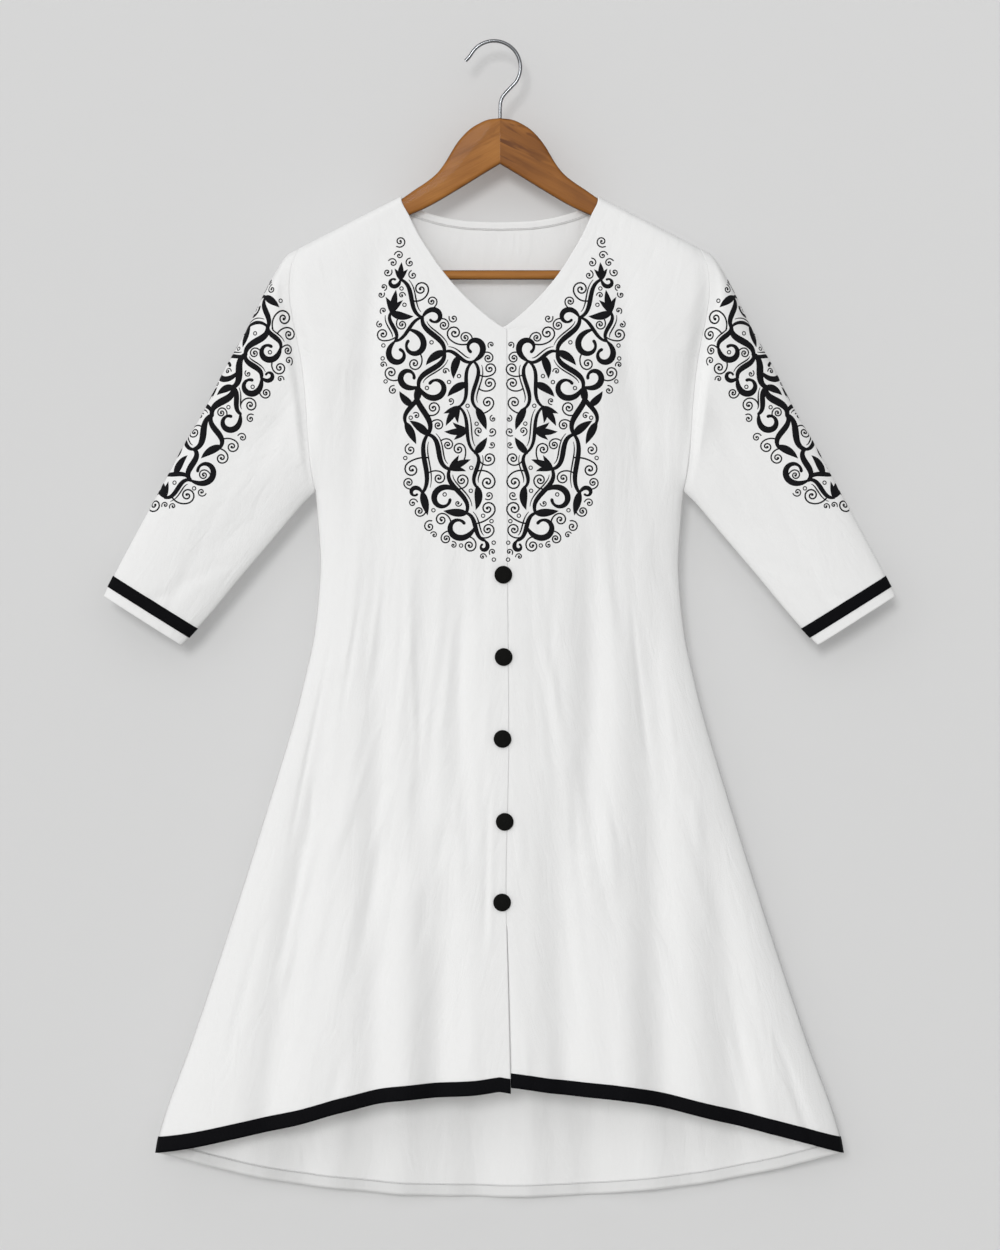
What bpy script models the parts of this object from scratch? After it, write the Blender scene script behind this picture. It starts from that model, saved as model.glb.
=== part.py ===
"""An A-line kurta tunic hanging on a wooden hanger.

Metres, +Z up. The front faces -Y. The origin is the inner side of the hook's crown, where a
rail carries the hanger. Each piece of cloth is a wall laid on its own section functions.
"""

import math

import bmesh
import bpy
import numpy as np
from mathutils import Vector

for old in list(bpy.data.objects):
    bpy.data.objects.remove(old, do_unlink=True)

# Driving dimensions, in millimetres. "Drop" is a height measured down from the origin, and
# "half" is a distance out from the garment's middle line.
MM = 0.001
GARMENT_X = 6.0  # the garment's middle line, to the right of the hook's crown
WALL = 1.6  # cloth with its turnings
TRIM_WALL = 1.0  # ribbon and neck facing
GAP = 0.3  # between pieces that are sewn together or lie on each other
ARMHOLE_GAP = 0.4
NECK_DROP = 168.0  # the shoulder ridge at the neck
TIP_DROP = 226.0  # the shoulder ridge at the armhole
NECK_HALF = 106.5  # as far out as the ridge is level
TIP_HALF = 220.0
V_DROP = 313.5
V_X = 4.0
UNDERARM_DROP = 493.5
SIDE_HEM_DROP = 1221.0
RIDGE_RADIUS = 9.0  # cloth bent over the top of the hanger
ARMHOLE_DEPTH = 19.0
FACING_END = 0.8  # of the last column before the shoulder seam
LAP_UNDER = 18.0  # the right front under the left front
LAP_RECESS = WALL + GAP + 0.1
LAP_CLEAR = 2.0  # recessed cloth past the lap's edge, before it rises
LAP_RISE = 12.0
LAP_COLUMNS = (0.0, LAP_UNDER + LAP_CLEAR, LAP_UNDER + LAP_CLEAR + LAP_RISE)
LAP_FLAT = (15.0, 45.0)  # no folds within the first of the V, all of them past the second
SIDE_FLAT = 0.2  # share of the width beside a side seam where folds fade
FOLD_ENDS = 0.7  # how slowly a fold starts: 1 is a sine
EDGE_REACH = (2.0, 10.0)  # how closely the armhole's roundness keeps to it, at the top and more below
HANGER_X = 0.6
HANGER_THICKNESS = 12.0
HANGER_EDGE = 4.4
BAR_DROP = 255.5
BAR_RADIUS = 5.25
BAR_HALF = 200.0
TIP_ROUND_HALF = 199.0
TIP_ROUND_DROP = 244.0
TIP_ROUND_RADIUS = 21.0
WIRE_RADIUS = 2.0
HOOK_RADIUS = 29.0  # to the middle of the wire
HOOK_FROM, HOOK_TO = 152.0, -36.0  # degrees round the bend, from the tip's side
HOOK_POINTS = 25
WIRE_END_DROP = 100.0
HOOK_HOLE = (76.0, WIRE_END_DROP + 0.8)  # the hook's hole in the wood, from above it to below the wire
BAR_HOLE = (150.0, BAR_HALF + 0.5)  # the bar's hole in each arm, out from the hanger's middle
TIP_TURNS = range(50, -121, -17)  # degrees round the end of an arm

# Outlines: drop, half
NECK_EDGE = (
    (168, 108.2), (173.2, 108), (190, 100.3), (211, 90.5), (231, 78.5), (251, 65.5), (271, 49.5),
    (293, 28), (305, 14), (313.5, 2.5),
)
ARMHOLE = (
    (226, 220), (250, 229), (273, 230.5), (300, 227.5), (325, 222.5), (360, 216.5), (400, 212.5),
    (440, 210), (470, 207), (493.5, 202.5),
)
SIDE_SEAM = (
    (493.5, 202.5), (521, 200), (576, 197), (609, 199), (653, 204), (697, 213.5), (741, 224.5),
    (829, 251), (961, 292.5), (1093, 336.5), (1204, 375), (1221, 378),
)
# The edge of the left front, where it laps over the right one: drop, x
LAP_EDGE = ((313, 8.3), (560, 9), (760, 10.5), (930, 7.5), (1031, 9.7), (1090, 11.1), (1155, 12.6))
# Hems: half, drop
LEFT_HEM = (
    (0, 1150), (27, 1154), (110, 1160), (169, 1172.5), (225, 1188.5), (289, 1203), (342, 1215),
    (378, 1221),
)
RIGHT_HEM = (
    (0, 1145), (15, 1146), (67, 1153.5), (139, 1160.5), (187, 1170), (240, 1183.5), (307, 1200.5),
    (378, 1221),
)
BACK_HEM = ((0, 1275), (100, 1272), (169, 1265.5), (226, 1258.5), (307, 1241.5), (378, 1221))
BACK_NECK = ((0, 196.5), (30, 195.5), (55, 192.3), (72, 188.2), (85, 184), (97, 178.5), (108, 173.5))
# How far the middle of each side stands out past the ridge's own radius: drop, depth
FRONT_DEPTH = (
    (168, 0), (200, 2), (250, 9), (313, 17), (400, 21), (575, 19), (800, 22), (1000, 27), (1155, 32),
)
BACK_DEPTH = ((168, 1), (200, 4), (250, 9), (400, 17), (575, 17), (800, 20), (1000, 25), (1275, 31))

# Sleeve edges, from the shoulder and from the underarm to the cuff: half, drop
SLEEVE_OUTER = (
    (220, 226), (233, 233.5), (246, 252), (276, 312), (303, 361), (325.5, 406), (345.5, 440),
    (369, 484), (395, 531.5), (424.5, 587), (435.5, 608.5),
)
SLEEVE_INNER = ((202.5, 493.5), (214.5, 505), (237, 531.5), (282, 584.5), (326, 637), (350, 662.8))
# Sleeve sections: share down the outer edge, share down the inner edge, half thickness,
# fullness of the outer fold
SLEEVE_RINGS = (
    (0, 0, 19, 5),
    (0.04, 0.03, 18.4, 4.6),
    (0.1, 0.08, 17.4, 4),
    (0.19, 0.16, 16, 3.2),
    (0.3, 0.26, 14.6, 2.6),
    (0.42, 0.37, 13.4, 2.4),
    (0.54, 0.48, 12.6, 2.3),
    (0.66, 0.59, 12, 2.2),
    (0.77, 0.7, 11.5, 2.2),
    (0.87, 0.8, 10.8, 2.2),
    (0.9445, 0.885, 10.2, 2.2),
    (0.975, 0.947, 9.8, 2.2),
    (1, 1, 9.4, 2.2),
)
CUFF_RIBBON_RINGS = (10, 11)
UNDERARM_FULLNESS = 2.5

# Sections of the body: shares of the way from the shoulder ridge to the underarm, where a
# minus is behind the ridge, and then shares of the way from the underarm to the hem.
SEAM_SHARE = 0.016
UPPER_ROWS = (
    0, 0.006, 0.016, 0.032, 0.05, 0.11, 0.19, 0.275, 0.36, 0.447, 0.458, 0.54, 0.645, 0.745, 0.83, 0.9,
    0.955, 0.985, 1,
)
LOWER_ROWS = (0.05, 0.12, 0.2, 0.29, 0.38, 0.47, 0.56, 0.65, 0.74, 0.83, 0.91, 0.9755, 1)
BELOW_UNDERARM = tuple((1.0, share) for share in LOWER_ROWS)
FRONT_ROWS = tuple((share, 0.0) for share in (-SEAM_SHARE, -0.006) + UPPER_ROWS) + BELOW_UNDERARM
BACK_ROWS = tuple((share, 0.0) for share in (SEAM_SHARE + 0.001,) + UPPER_ROWS[3:]) + BELOW_UNDERARM
FRONT_COLUMNS = 16
BACK_HALF_COLUMNS = 15
BACK_NECK_COLUMNS = 5  # of each half, as far out as the neck

# Folds: x and drop at the top, x and drop at the bottom, half width, depth (a minus stands out)
FRONT_FOLDS = (
    (-133, 215, -164, 560, 16, 3),
    (132, 230, 158, 540, 16, 2.5),
    (-126, 400, -138, 1500, 20, 4.5),
    (-79, 540, -86, 930, 18, 4),
    (-42, 560, -44, 900, 17, 4),
    (-58, 860, -76, 1450, 20, 5),
    (-185, 690, -285, 1400, 22, 5),
    (-105, 900, -112, 1500, 22, -3.5),
    (104, 540, 99, 900, 18, 4.5),
    (160, 580, 190, 1450, 22, 5),
    (62, 800, 84, 1500, 20, 4.5),
    (235, 850, 292, 1500, 24, 5),
    (138, 950, 146, 1500, 22, -3.5),
)
BACK_FOLDS = (
    (-120, 240, -150, 620, 18, 3),
    (96, 250, 150, 600, 18, 3.5),
    (-60, 420, -70, 1050, 20, 4.5),
    (38, 520, 30, 1600, 22, 5),
    (-150, 600, -200, 1600, 24, 6),
    (140, 640, 185, 1600, 24, 6),
    (-20, 880, -28, 1650, 22, -5),
    (-100, 900, -120, 1650, 22, 5),
    (95, 900, 108, 1650, 22, -5),
    (-230, 880, -300, 1550, 26, 6),
    (235, 860, 290, 1550, 26, -5),
)
# Sleeve folds: 1 in front or -1 behind, ring and share across at the start and at the end, half width,
# and depth as a share of the thickness there
SLEEVE_FOLDS = (
    (1, 1.5, 0.72, 6, 0.3, 0.13, 0.22),
    (1, 3, 0.9, 9, 0.6, 0.12, 0.2),
    (-1, 1, 0.66, 7, 0.4, 0.14, 0.24),
    (-1, 4, 0.3, 10, 0.55, 0.12, 0.18),
)

# Buttons: x, drop
BUTTONS = ((4.2, 585.5), (4.5, 675.5), (3.3, 765), (5.7, 855.5), (2.8, 943.5))

# A covered button, turned: radius, height
BUTTON_PROFILE = ((0, 0), (8.6, 0), (9.5, 0.8), (9.75, 1.8), (9.1, 3.1), (6.6, 4.1), (3.3, 4.5), (0, 4.6))
BUTTON_SIDES = 18
BUTTON_RADIUS = 9.0  # of its flat underside

# The hanger's outline, out from its middle: half, drop
WOOD_TOP = (
    (0, 83.2), (12, 84.5), (24, 89.5), (34, 96), (42, 104), (49, 113), (55, 123), (61, 133),
    (69, 143.4), (79, 152), (93, 161.4), (107, 171.2), (112, 174.6), (130, 183.8), (190, 214),
    (208, 225.8),
)
WOOD_BOTTOM = (
    (0, 133.3), (22, 146.6), (47, 162), (80, 181), (101, 190.6), (140, 211), (165, 229), (179, 246),
    (185.5, 260),
)
# The wire's flared tip and its neck below the bend: x, drop
WIRE_TIP = ((-37.4, 20), (-34.4, 17))
WIRE_NECK = ((12.4, 49.2), (7.2, 54.6), (3, 60), (1, 66), (0.6, 73), (0.6, 83), (0.6, 100))


def finish(name, colour, roughness, metallic=0.0):
    material = bpy.data.materials.new(name)
    material.use_nodes = True
    shader = material.node_tree.nodes["Principled BSDF"]
    shader.inputs["Base Color"].default_value = (*colour, 1.0)
    shader.inputs["Roughness"].default_value = roughness
    shader.inputs["Metallic"].default_value = metallic
    return material


WHITE_CLOTH = (0.83, 0.83, 0.82)
BLACK = (0.012, 0.012, 0.013)
ORANGE_WOOD = (0.40, 0.17, 0.055)

X_WAY, Y_WAY, Z_WAY = Vector((1, 0, 0)), Vector((0, 1, 0)), Vector((0, 0, 1))

middle = bpy.data.objects.new("garment_middle", None)
middle.location = (GARMENT_X * MM, 0, 0)
bpy.context.scene.collection.objects.link(middle)


def add_object(name, mesh, material, smooth_angle=50):
    """Links a mesh as one named piece, with its material, in the garment's own frame."""
    piece = bpy.data.objects.new(name, mesh)
    piece.data.materials.append(material)
    bpy.context.scene.collection.objects.link(piece)
    piece.parent = middle
    if isinstance(mesh, bpy.types.Mesh):
        mesh.shade_smooth()
        mesh.set_sharp_from_angle(angle=math.radians(smooth_angle))
    return piece


def mesh_of(shape, name):
    mesh = bpy.data.meshes.new(name)
    shape.to_mesh(mesh)
    shape.free()
    return mesh


def smooth(table, at):
    """The value of a two-column table at a place: a cubic that never overshoots its rows."""
    place, value = np.array(table, float).T
    step = np.diff(place)
    rise = np.diff(value) / step
    product = rise[:-1] * rise[1:]
    total = np.where(product > 0, rise[:-1] + rise[1:], 1.0)
    slope = np.concatenate([rise[:1], np.where(product > 0, 2 * product / total, 0.0), rise[-1:]])
    at = np.clip(at, place[0], place[-1])
    row = np.clip(np.searchsorted(place, at, side="right") - 1, 0, len(step) - 1)
    t = (at - place[row]) / step[row]
    ends = (1 + 2 * t) * (1 - t) ** 2 * value[row] + t * t * (3 - 2 * t) * value[row + 1]
    return ends + t * (1 - t) * step[row] * ((1 - t) * slope[row] - t * slope[row + 1])


def ease(value, low, high):
    t = min(max((value - low) / (high - low), 0.0), 1.0)
    return t * t * (3 - 2 * t)


def along(path, share):
    """The point at a share of a path's length."""
    points = np.array(path, float)
    run = np.concatenate([[0], np.cumsum(np.hypot(*np.diff(points, axis=0).T))])
    at = share * run[-1]
    return np.array([smooth(np.column_stack([run, points[:, axis]]), at) for axis in (0, 1)])


def ridge_drop(across):
    """The height of the shoulder ridge at a share of the way out to its tip, level across the neck."""
    neck = NECK_HALF / TIP_HALF
    return NECK_DROP + (TIP_DROP - NECK_DROP) * max(across - neck, 0) / (1 - neck)


def ridge_bend(below):
    """How far the cloth stands out at a distance below the ridge that it hangs over."""
    left = RIDGE_RADIUS - min(max(below, 0), RIDGE_RADIUS)
    return math.sqrt(RIDGE_RADIUS**2 - left**2)


def fold_depth(folds, x, drop):
    total = 0.0
    for top_x, top, bottom_x, bottom, half_width, depth in folds:
        share = (drop - top) / (bottom - top)
        if 0 < share < 1:
            aside = (x - top_x - (bottom_x - top_x) * share) / half_width
            total += depth * math.exp(-aside * aside) * math.sin(math.pi * share) ** FOLD_ENDS
    return total


def section_depth(share, fullness):
    """Thickness of a flattened tube at a share of the way across it, 1 in its middle."""
    across = 1 - 2 * share
    power = fullness if across > 0 else UNDERARM_FULLNESS
    return math.sqrt(max(1 - abs(across) ** power, 0))


def outer_edge(upper, lower):
    """The armhole or the side seam at a section: drop, half, and depth there."""
    if lower > 0:
        drop = UNDERARM_DROP + lower * (SIDE_HEM_DROP - UNDERARM_DROP)
        return drop, smooth(SIDE_SEAM, drop), 0.0
    drop = TIP_DROP + upper * (UNDERARM_DROP - TIP_DROP)
    return drop, smooth(ARMHOLE, drop), ARMHOLE_DEPTH * section_depth(upper, SLEEVE_RINGS[0][3])


def body_depth(x, drop, half, edge, upper, depths):
    """How far the cloth stands out from the hanger's plane."""
    full = ridge_bend(drop - ridge_drop(abs(x) / half)) + smooth(depths, drop)
    past_neck = max(abs(x) - NECK_HALF, 0) / (half - NECK_HALF)
    across = min(past_neck * (1 - upper) + abs(x) / half * upper, 1.0)
    lower_part = ease(upper, 0.5, 1)
    near_edge = across ** (EDGE_REACH[0] + EDGE_REACH[1] * lower_part)
    return full * (1 - across * across) ** (1 - 0.5 * lower_part) + edge * near_edge


def inner_edge(side, drop):
    """The neck edge of a front, and below the V its edge at the lap."""
    if drop <= V_DROP:
        return side * smooth(NECK_EDGE, drop) + V_X * (drop - NECK_DROP) / (V_DROP - NECK_DROP)
    lap = smooth(LAP_EDGE, drop)
    return lap if side < 0 else lap - LAP_UNDER


def front_fold(x, drop, half):
    """Folds of the front, which leave the lap and the side seams flat."""
    flat_at_side = ease(1 - abs(x) / half, 0, SIDE_FLAT)
    return fold_depth(FRONT_FOLDS, x, drop) * flat_at_side * ease(abs(x - V_X), *LAP_FLAT)


def front_column(start, end, column):
    """x at a column: two at the lap's own widths, and the rest closer towards the side."""
    side = math.copysign(1, end)
    if column < len(LAP_COLUMNS):
        return start + side * LAP_COLUMNS[column]
    near = start + side * LAP_COLUMNS[-1]
    share = (column - len(LAP_COLUMNS) + 1) / (FRONT_COLUMNS - len(LAP_COLUMNS) + 1)
    return near + (end - near) * math.sin(share * math.pi / 2)


def front_point(side, column, upper, lower):
    """A point on a front, by its column out from the neck or the lap. side is -1 or 1."""
    _, half, edge = outer_edge(abs(upper), lower)
    hem = LEFT_HEM if side < 0 else RIGHT_HEM
    inner_drop = NECK_DROP + abs(upper) * (UNDERARM_DROP - NECK_DROP) + lower * (hem[0][1] - UNDERARM_DROP)
    start = inner_edge(side, inner_drop)
    x = front_column(start, side * half, column)
    if lower > 0:
        drop = UNDERARM_DROP + lower * (smooth(hem, abs(x)) - UNDERARM_DROP)
    else:
        ridge = ridge_drop(abs(x) / half)
        drop = ridge + abs(upper) * (UNDERARM_DROP - ridge)
    depth = body_depth(x, drop, half, edge, abs(upper), FRONT_DEPTH)
    depth += GAP / 2 * max(upper, 0) - front_fold(x, drop, half)
    if side > 0 and inner_drop > V_DROP - 1:
        rise = (smooth(LAP_EDGE, drop) + LAP_CLEAR + LAP_RISE - x) / LAP_RISE
        depth -= LAP_RECESS * min(max(rise, 0), 1)
    return Vector((x, depth if upper < 0 else -depth, -drop)) * MM


def back_point(column, upper, lower):
    """A point on the back, by its column out from the middle, minus to the left."""
    _, half, edge = outer_edge(upper, lower)
    neck_turn = math.asin(BACK_NECK[-1][0] / TIP_HALF)
    past_neck = max(abs(column) - BACK_NECK_COLUMNS, 0) / (BACK_HALF_COLUMNS - BACK_NECK_COLUMNS)
    turn = neck_turn * min(abs(column) / BACK_NECK_COLUMNS, 1) + (math.pi / 2 - neck_turn) * past_neck
    x = math.copysign(half * math.sin(turn), column)
    if lower > 0:
        drop = UNDERARM_DROP + lower * (smooth(BACK_HEM, abs(x)) - UNDERARM_DROP)
    else:
        first = BACK_ROWS[0][0]
        ridge = ridge_drop(math.sin(turn))
        top = ridge + first * (UNDERARM_DROP - ridge)
        if abs(column) < BACK_NECK_COLUMNS:
            top = smooth(BACK_NECK, TIP_HALF * math.sin(turn))
        drop = top + (UNDERARM_DROP - top) * (upper - first) / (1 - first)
    depth = body_depth(x, drop, half, edge, upper, BACK_DEPTH) + GAP / 2 * upper
    depth -= fold_depth(BACK_FOLDS, x, drop) * ease(1 - abs(x) / half, 0, SIDE_FLAT)
    return Vector((x, depth, -drop)) * MM


def facing_point(column, upper, lower):
    """A point of the back that the neck facing lies behind; it stops short of the shoulder seam."""
    if abs(column) < BACK_NECK_COLUMNS:
        return back_point(column, upper, lower)
    before = column - math.copysign(1, column)
    return back_point(before, upper, lower).lerp(back_point(column, upper, lower), FACING_END)


def sleeve_point(side, around, ring):
    """A point on a sleeve. around counts the armhole's rows down the front and up the back."""
    rows = len(UPPER_ROWS) - 1
    around %= 2 * rows
    face = 1 if around <= rows else -1
    share = UPPER_ROWS[around if face > 0 else 2 * rows - around]
    outer_share, inner_share, thickness, fullness = SLEEVE_RINGS[ring]
    outer, inner = along(SLEEVE_OUTER, outer_share), along(SLEEVE_INNER, inner_share)
    seam_drop, seam_half, _ = outer_edge(share, 0)
    if ring == 0:
        half, drop = seam_half + ARMHOLE_GAP, seam_drop
    else:
        half, drop = outer + (inner - outer) * share
        half += (seam_half - TIP_HALF - (SIDE_SEAM[0][1] - TIP_HALF) * share) * (1 - outer_share) ** 3
    depth = thickness * section_depth(share, fullness)
    for fold_face, first_ring, first, last_ring, last, half_width, fold in SLEEVE_FOLDS:
        run = (ring - first_ring) / (last_ring - first_ring)
        if fold_face == face and 0 < run < 1:
            aside = (share - first - (last - first) * run) / half_width
            depth *= 1 - fold * math.exp(-aside * aside) * math.sin(math.pi * run)
    return Vector((side * half, -face * depth, -drop)) * MM


def place_key(point):
    return tuple(round(value, 8) for value in point)


def cloth(name, columns, rows, place, material, wall=WALL, lift=0.0, inward=True, rim=None, tube=False):
    """A flat grid laid onto place(column, row), moved out by lift and given its wall.

    rim(column, row) lists the directions that the wall has no part of at a seam, so that the
    two pieces sewn there meet face to face.
    """
    shape = bmesh.new()
    bmesh.ops.create_grid(shape, x_segments=columns, y_segments=rows, size=0.5)
    square_to = {}
    for vertex in shape.verts:
        column, row = round((vertex.co.x + 0.5) * columns), round((vertex.co.y + 0.5) * rows)
        vertex.co = place(column, row)
        square_to[place_key(vertex.co)] = rim(column, row) if rim else ()
    if tube:
        bmesh.ops.remove_doubles(shape, verts=shape.verts[:], dist=1e-7)
    shape.normal_update()
    centre = sum((face.calc_center_median() for face in shape.faces), Vector()) / len(shape.faces)
    centre.y = 0
    outward = sum(face.normal.dot(face.calc_center_median() - centre) for face in shape.faces)
    if outward < 0:
        bmesh.ops.reverse_faces(shape, faces=shape.faces[:])
        shape.normal_update()
    ways = {}
    for vertex in shape.verts:
        way = vertex.normal.copy()
        for across_seam in square_to[place_key(vertex.co)]:
            way -= across_seam * way.dot(across_seam)
        ways[vertex] = way.normalized() * MM
    through_wall = {}
    for vertex, way in ways.items():
        vertex.co += way * lift
        through_wall[place_key(vertex.co)] = way * (-wall if inward else wall)
    made = bmesh.ops.extrude_face_region(shape, geom=shape.faces[:], use_keep_orig=True)
    for item in made["geom"]:
        if isinstance(item, bmesh.types.BMVert):
            item.co += through_wall[place_key(item.co)]
    bmesh.ops.recalc_face_normals(shape, faces=shape.faces[:])
    return add_object(name, mesh_of(shape, name), material)


def across_armhole(side, share):
    """The direction that leads straight over the armhole seam from the body to the sleeve."""
    drop, half, _ = outer_edge(share, 0)
    _, half_below, _ = outer_edge(min(share + 0.005, 1), 0)
    drop_below = drop + 0.005 * (UNDERARM_DROP - TIP_DROP)
    lean = (half_below - half) / (drop_below - drop)
    return Vector((side, 0, lean)).normalized()


def body_rim(rows, last_column):
    """The rim of a front or of the back at its shoulder seam, armhole and side seam."""

    def directions(column, row):
        upper, lower = rows[row]
        if row == 0:
            return X_WAY, Z_WAY
        if abs(column) != last_column:
            return ()
        return (Y_WAY,) if upper == 1 else (across_armhole(math.copysign(1, column), abs(upper)),)

    return directions


def make_fronts():
    white = finish("white_crepe", WHITE_CLOTH, 0.85)
    black = finish("black_ribbon", BLACK, 0.6)
    for side, name in ((-1, "left"), (1, "right")):
        cloth(
            f"front_{name}",
            FRONT_COLUMNS,
            len(FRONT_ROWS) - 1,
            lambda column, row, side=side: front_point(side, column, *FRONT_ROWS[row]),
            white,
            rim=lambda column, row, side=side: body_rim(FRONT_ROWS, FRONT_COLUMNS)(side * column, row),
        )
        # The right ribbon starts where the left front's lap ends.
        first = 0 if side < 0 else 1
        ribbon_rows = FRONT_ROWS[-2:]
        cloth(
            f"hem_ribbon_{name}",
            FRONT_COLUMNS - first,
            1,
            lambda column, row, side=side, first=first: front_point(side, column + first, *ribbon_rows[row]),
            black,
            wall=TRIM_WALL,
            lift=GAP,
            inward=False,
            rim=lambda column, row, last=FRONT_COLUMNS - first: (Y_WAY,) if column == last else (),
        )


def make_back():
    white = finish("white_crepe_back", WHITE_CLOTH, 0.85)
    cloth(
        "back",
        2 * BACK_HALF_COLUMNS,
        len(BACK_ROWS) - 1,
        lambda column, row: back_point(column - BACK_HALF_COLUMNS, *BACK_ROWS[row]),
        white,
        rim=lambda column, row: body_rim(BACK_ROWS, BACK_HALF_COLUMNS)(column - BACK_HALF_COLUMNS, row),
    )
    cloth(
        "neck_facing",
        2 * BACK_NECK_COLUMNS,
        2,
        lambda column, row: facing_point(column - BACK_NECK_COLUMNS, *BACK_ROWS[row]),
        finish("white_facing", WHITE_CLOTH, 0.85),
        wall=TRIM_WALL,
        lift=-WALL - GAP,
    )


def armhole_direction(side, around):
    rows = len(UPPER_ROWS) - 1
    around %= 2 * rows
    return across_armhole(side, UPPER_ROWS[min(around, 2 * rows - around)])


def make_sleeves():
    white = finish("white_crepe_sleeve", WHITE_CLOTH, 0.85)
    black = finish("black_cuff_ribbon", BLACK, 0.6)
    around = 2 * (len(UPPER_ROWS) - 1)
    first, last = CUFF_RIBBON_RINGS
    for side, name in ((-1, "left"), (1, "right")):
        cloth(
            f"sleeve_{name}",
            around,
            len(SLEEVE_RINGS) - 1,
            lambda column, row, side=side: sleeve_point(side, column, row),
            white,
            rim=lambda column, row, side=side: (armhole_direction(side, column),) if row == 0 else (),
            tube=True,
        )
        cloth(
            f"cuff_ribbon_{name}",
            around,
            last - first,
            lambda column, row, side=side: sleeve_point(side, column, row + first),
            black,
            wall=TRIM_WALL,
            lift=GAP,
            inward=False,
            tube=True,
        )


def make_buttons():
    """Covered buttons, seated on the left front and just past its lap."""
    black = finish("black_covered_button", BLACK, 0.7)
    for number, (x, drop) in enumerate(BUTTONS, 1):
        half = smooth(SIDE_SEAM, drop)
        below_it = (drop - BUTTON_RADIUS, drop, drop + BUTTON_RADIUS)
        seat = GAP * 1.5 + max(body_depth(x, near, half, 0, 1, FRONT_DEPTH) for near in below_it)
        shape = bmesh.new()
        points = [Vector((x + out, -(seat + up), -drop)) * MM for out, up in BUTTON_PROFILE]
        profile = [shape.verts.new(point) for point in points]
        for pair in zip(profile, profile[1:]):
            shape.edges.new(pair)
        axis_point = Vector((x, -seat, -drop)) * MM
        bmesh.ops.spin(
            shape, geom=shape.edges[:], cent=axis_point, axis=(0, 1, 0), angle=math.tau, steps=BUTTON_SIDES
        )
        bmesh.ops.remove_doubles(shape, verts=shape.verts[:], dist=1e-6)
        bmesh.ops.recalc_face_normals(shape, faces=shape.faces[:])
        add_object(f"button_{number}", mesh_of(shape, "button"), black, 40)


def rod(name, start, end, radius, sides, material):
    """A round bar between two points."""
    start, end = Vector(start) * MM, Vector(end) * MM
    shape = bmesh.new()
    turn = (end - start).to_track_quat("Z", "Y").to_matrix().to_4x4()
    turn.translation = (start + end) / 2
    bmesh.ops.create_cone(
        shape,
        cap_ends=True,
        segments=sides,
        radius1=radius * MM,
        radius2=radius * MM,
        depth=(end - start).length,
        matrix=turn,
    )
    return add_object(name, mesh_of(shape, name), material, 40)


def cutter(name, start, end, radius):
    tool = rod(name, start, end, radius, 24, None)
    tool.hide_render = True
    tool.display_type = "WIRE"
    return tool


def round_points(x, drop, radius, degrees):
    """Points round an arc, as x and drop."""
    turns = [math.radians(angle) for angle in degrees]
    return [(x + radius * math.cos(turn), drop - radius * math.sin(turn)) for turn in turns]


def make_hanger():
    wood = finish("hanger_wood", ORANGE_WOOD, 0.45)
    hole_top, hole_end = ((HANGER_X, 0, -drop) for drop in HOOK_HOLE)
    hook_hole = cutter("hook_hole", hole_top, hole_end, WIRE_RADIUS + GAP)
    for side, name in ((-1, "left"), (1, "right")):
        outline = [(GAP / 2, WOOD_TOP[0][1]), *WOOD_TOP[1:]]
        outline += round_points(TIP_ROUND_HALF, TIP_ROUND_DROP, TIP_ROUND_RADIUS, TIP_TURNS)
        outline += [*reversed(WOOD_BOTTOM[1:]), (GAP / 2, WOOD_BOTTOM[0][1])]
        shape = bmesh.new()
        ring = [
            shape.verts.new(((HANGER_X + side * half) * MM, -HANGER_THICKNESS / 2 * MM, -drop * MM))
            for half, drop in outline
        ]
        face = shape.faces.new(ring)
        made = bmesh.ops.extrude_face_region(shape, geom=[face], use_keep_orig=True)
        moved = [item for item in made["geom"] if isinstance(item, bmesh.types.BMVert)]
        bmesh.ops.translate(shape, verts=moved, vec=(0, HANGER_THICKNESS * MM, 0))
        bmesh.ops.recalc_face_normals(shape, faces=shape.faces[:])
        joint = HANGER_X + side * GAP / 2
        long_edges = [
            edge
            for edge in shape.edges
            if abs(edge.verts[0].co.y - edge.verts[1].co.y) < 1e-6
            and any(abs(vertex.co.x - joint * MM) > 1e-6 for vertex in edge.verts)
        ]
        bmesh.ops.bevel(
            shape,
            geom=long_edges,
            offset=HANGER_EDGE * MM,
            segments=2,
            profile=0.5,
            affect="EDGES",
            material=-1,
        )
        arm = add_object(f"hanger_arm_{name}", mesh_of(shape, "hanger_arm"), wood, 35)
        bar_hole = cutter(
            f"bar_hole_{name}",
            (HANGER_X + side * BAR_HOLE[0], 0, -BAR_DROP),
            (HANGER_X + side * BAR_HOLE[1], 0, -BAR_DROP),
            BAR_RADIUS + GAP,
        )
        for tool in (hook_hole, bar_hole):
            cut = arm.modifiers.new(tool.name, "BOOLEAN")
            cut.object = tool
    rod(
        "hanger_bar",
        (HANGER_X - BAR_HALF, 0, -BAR_DROP),
        (HANGER_X + BAR_HALF, 0, -BAR_DROP),
        BAR_RADIUS,
        16,
        finish("bar_wood", ORANGE_WOOD, 0.45),
    )


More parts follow.
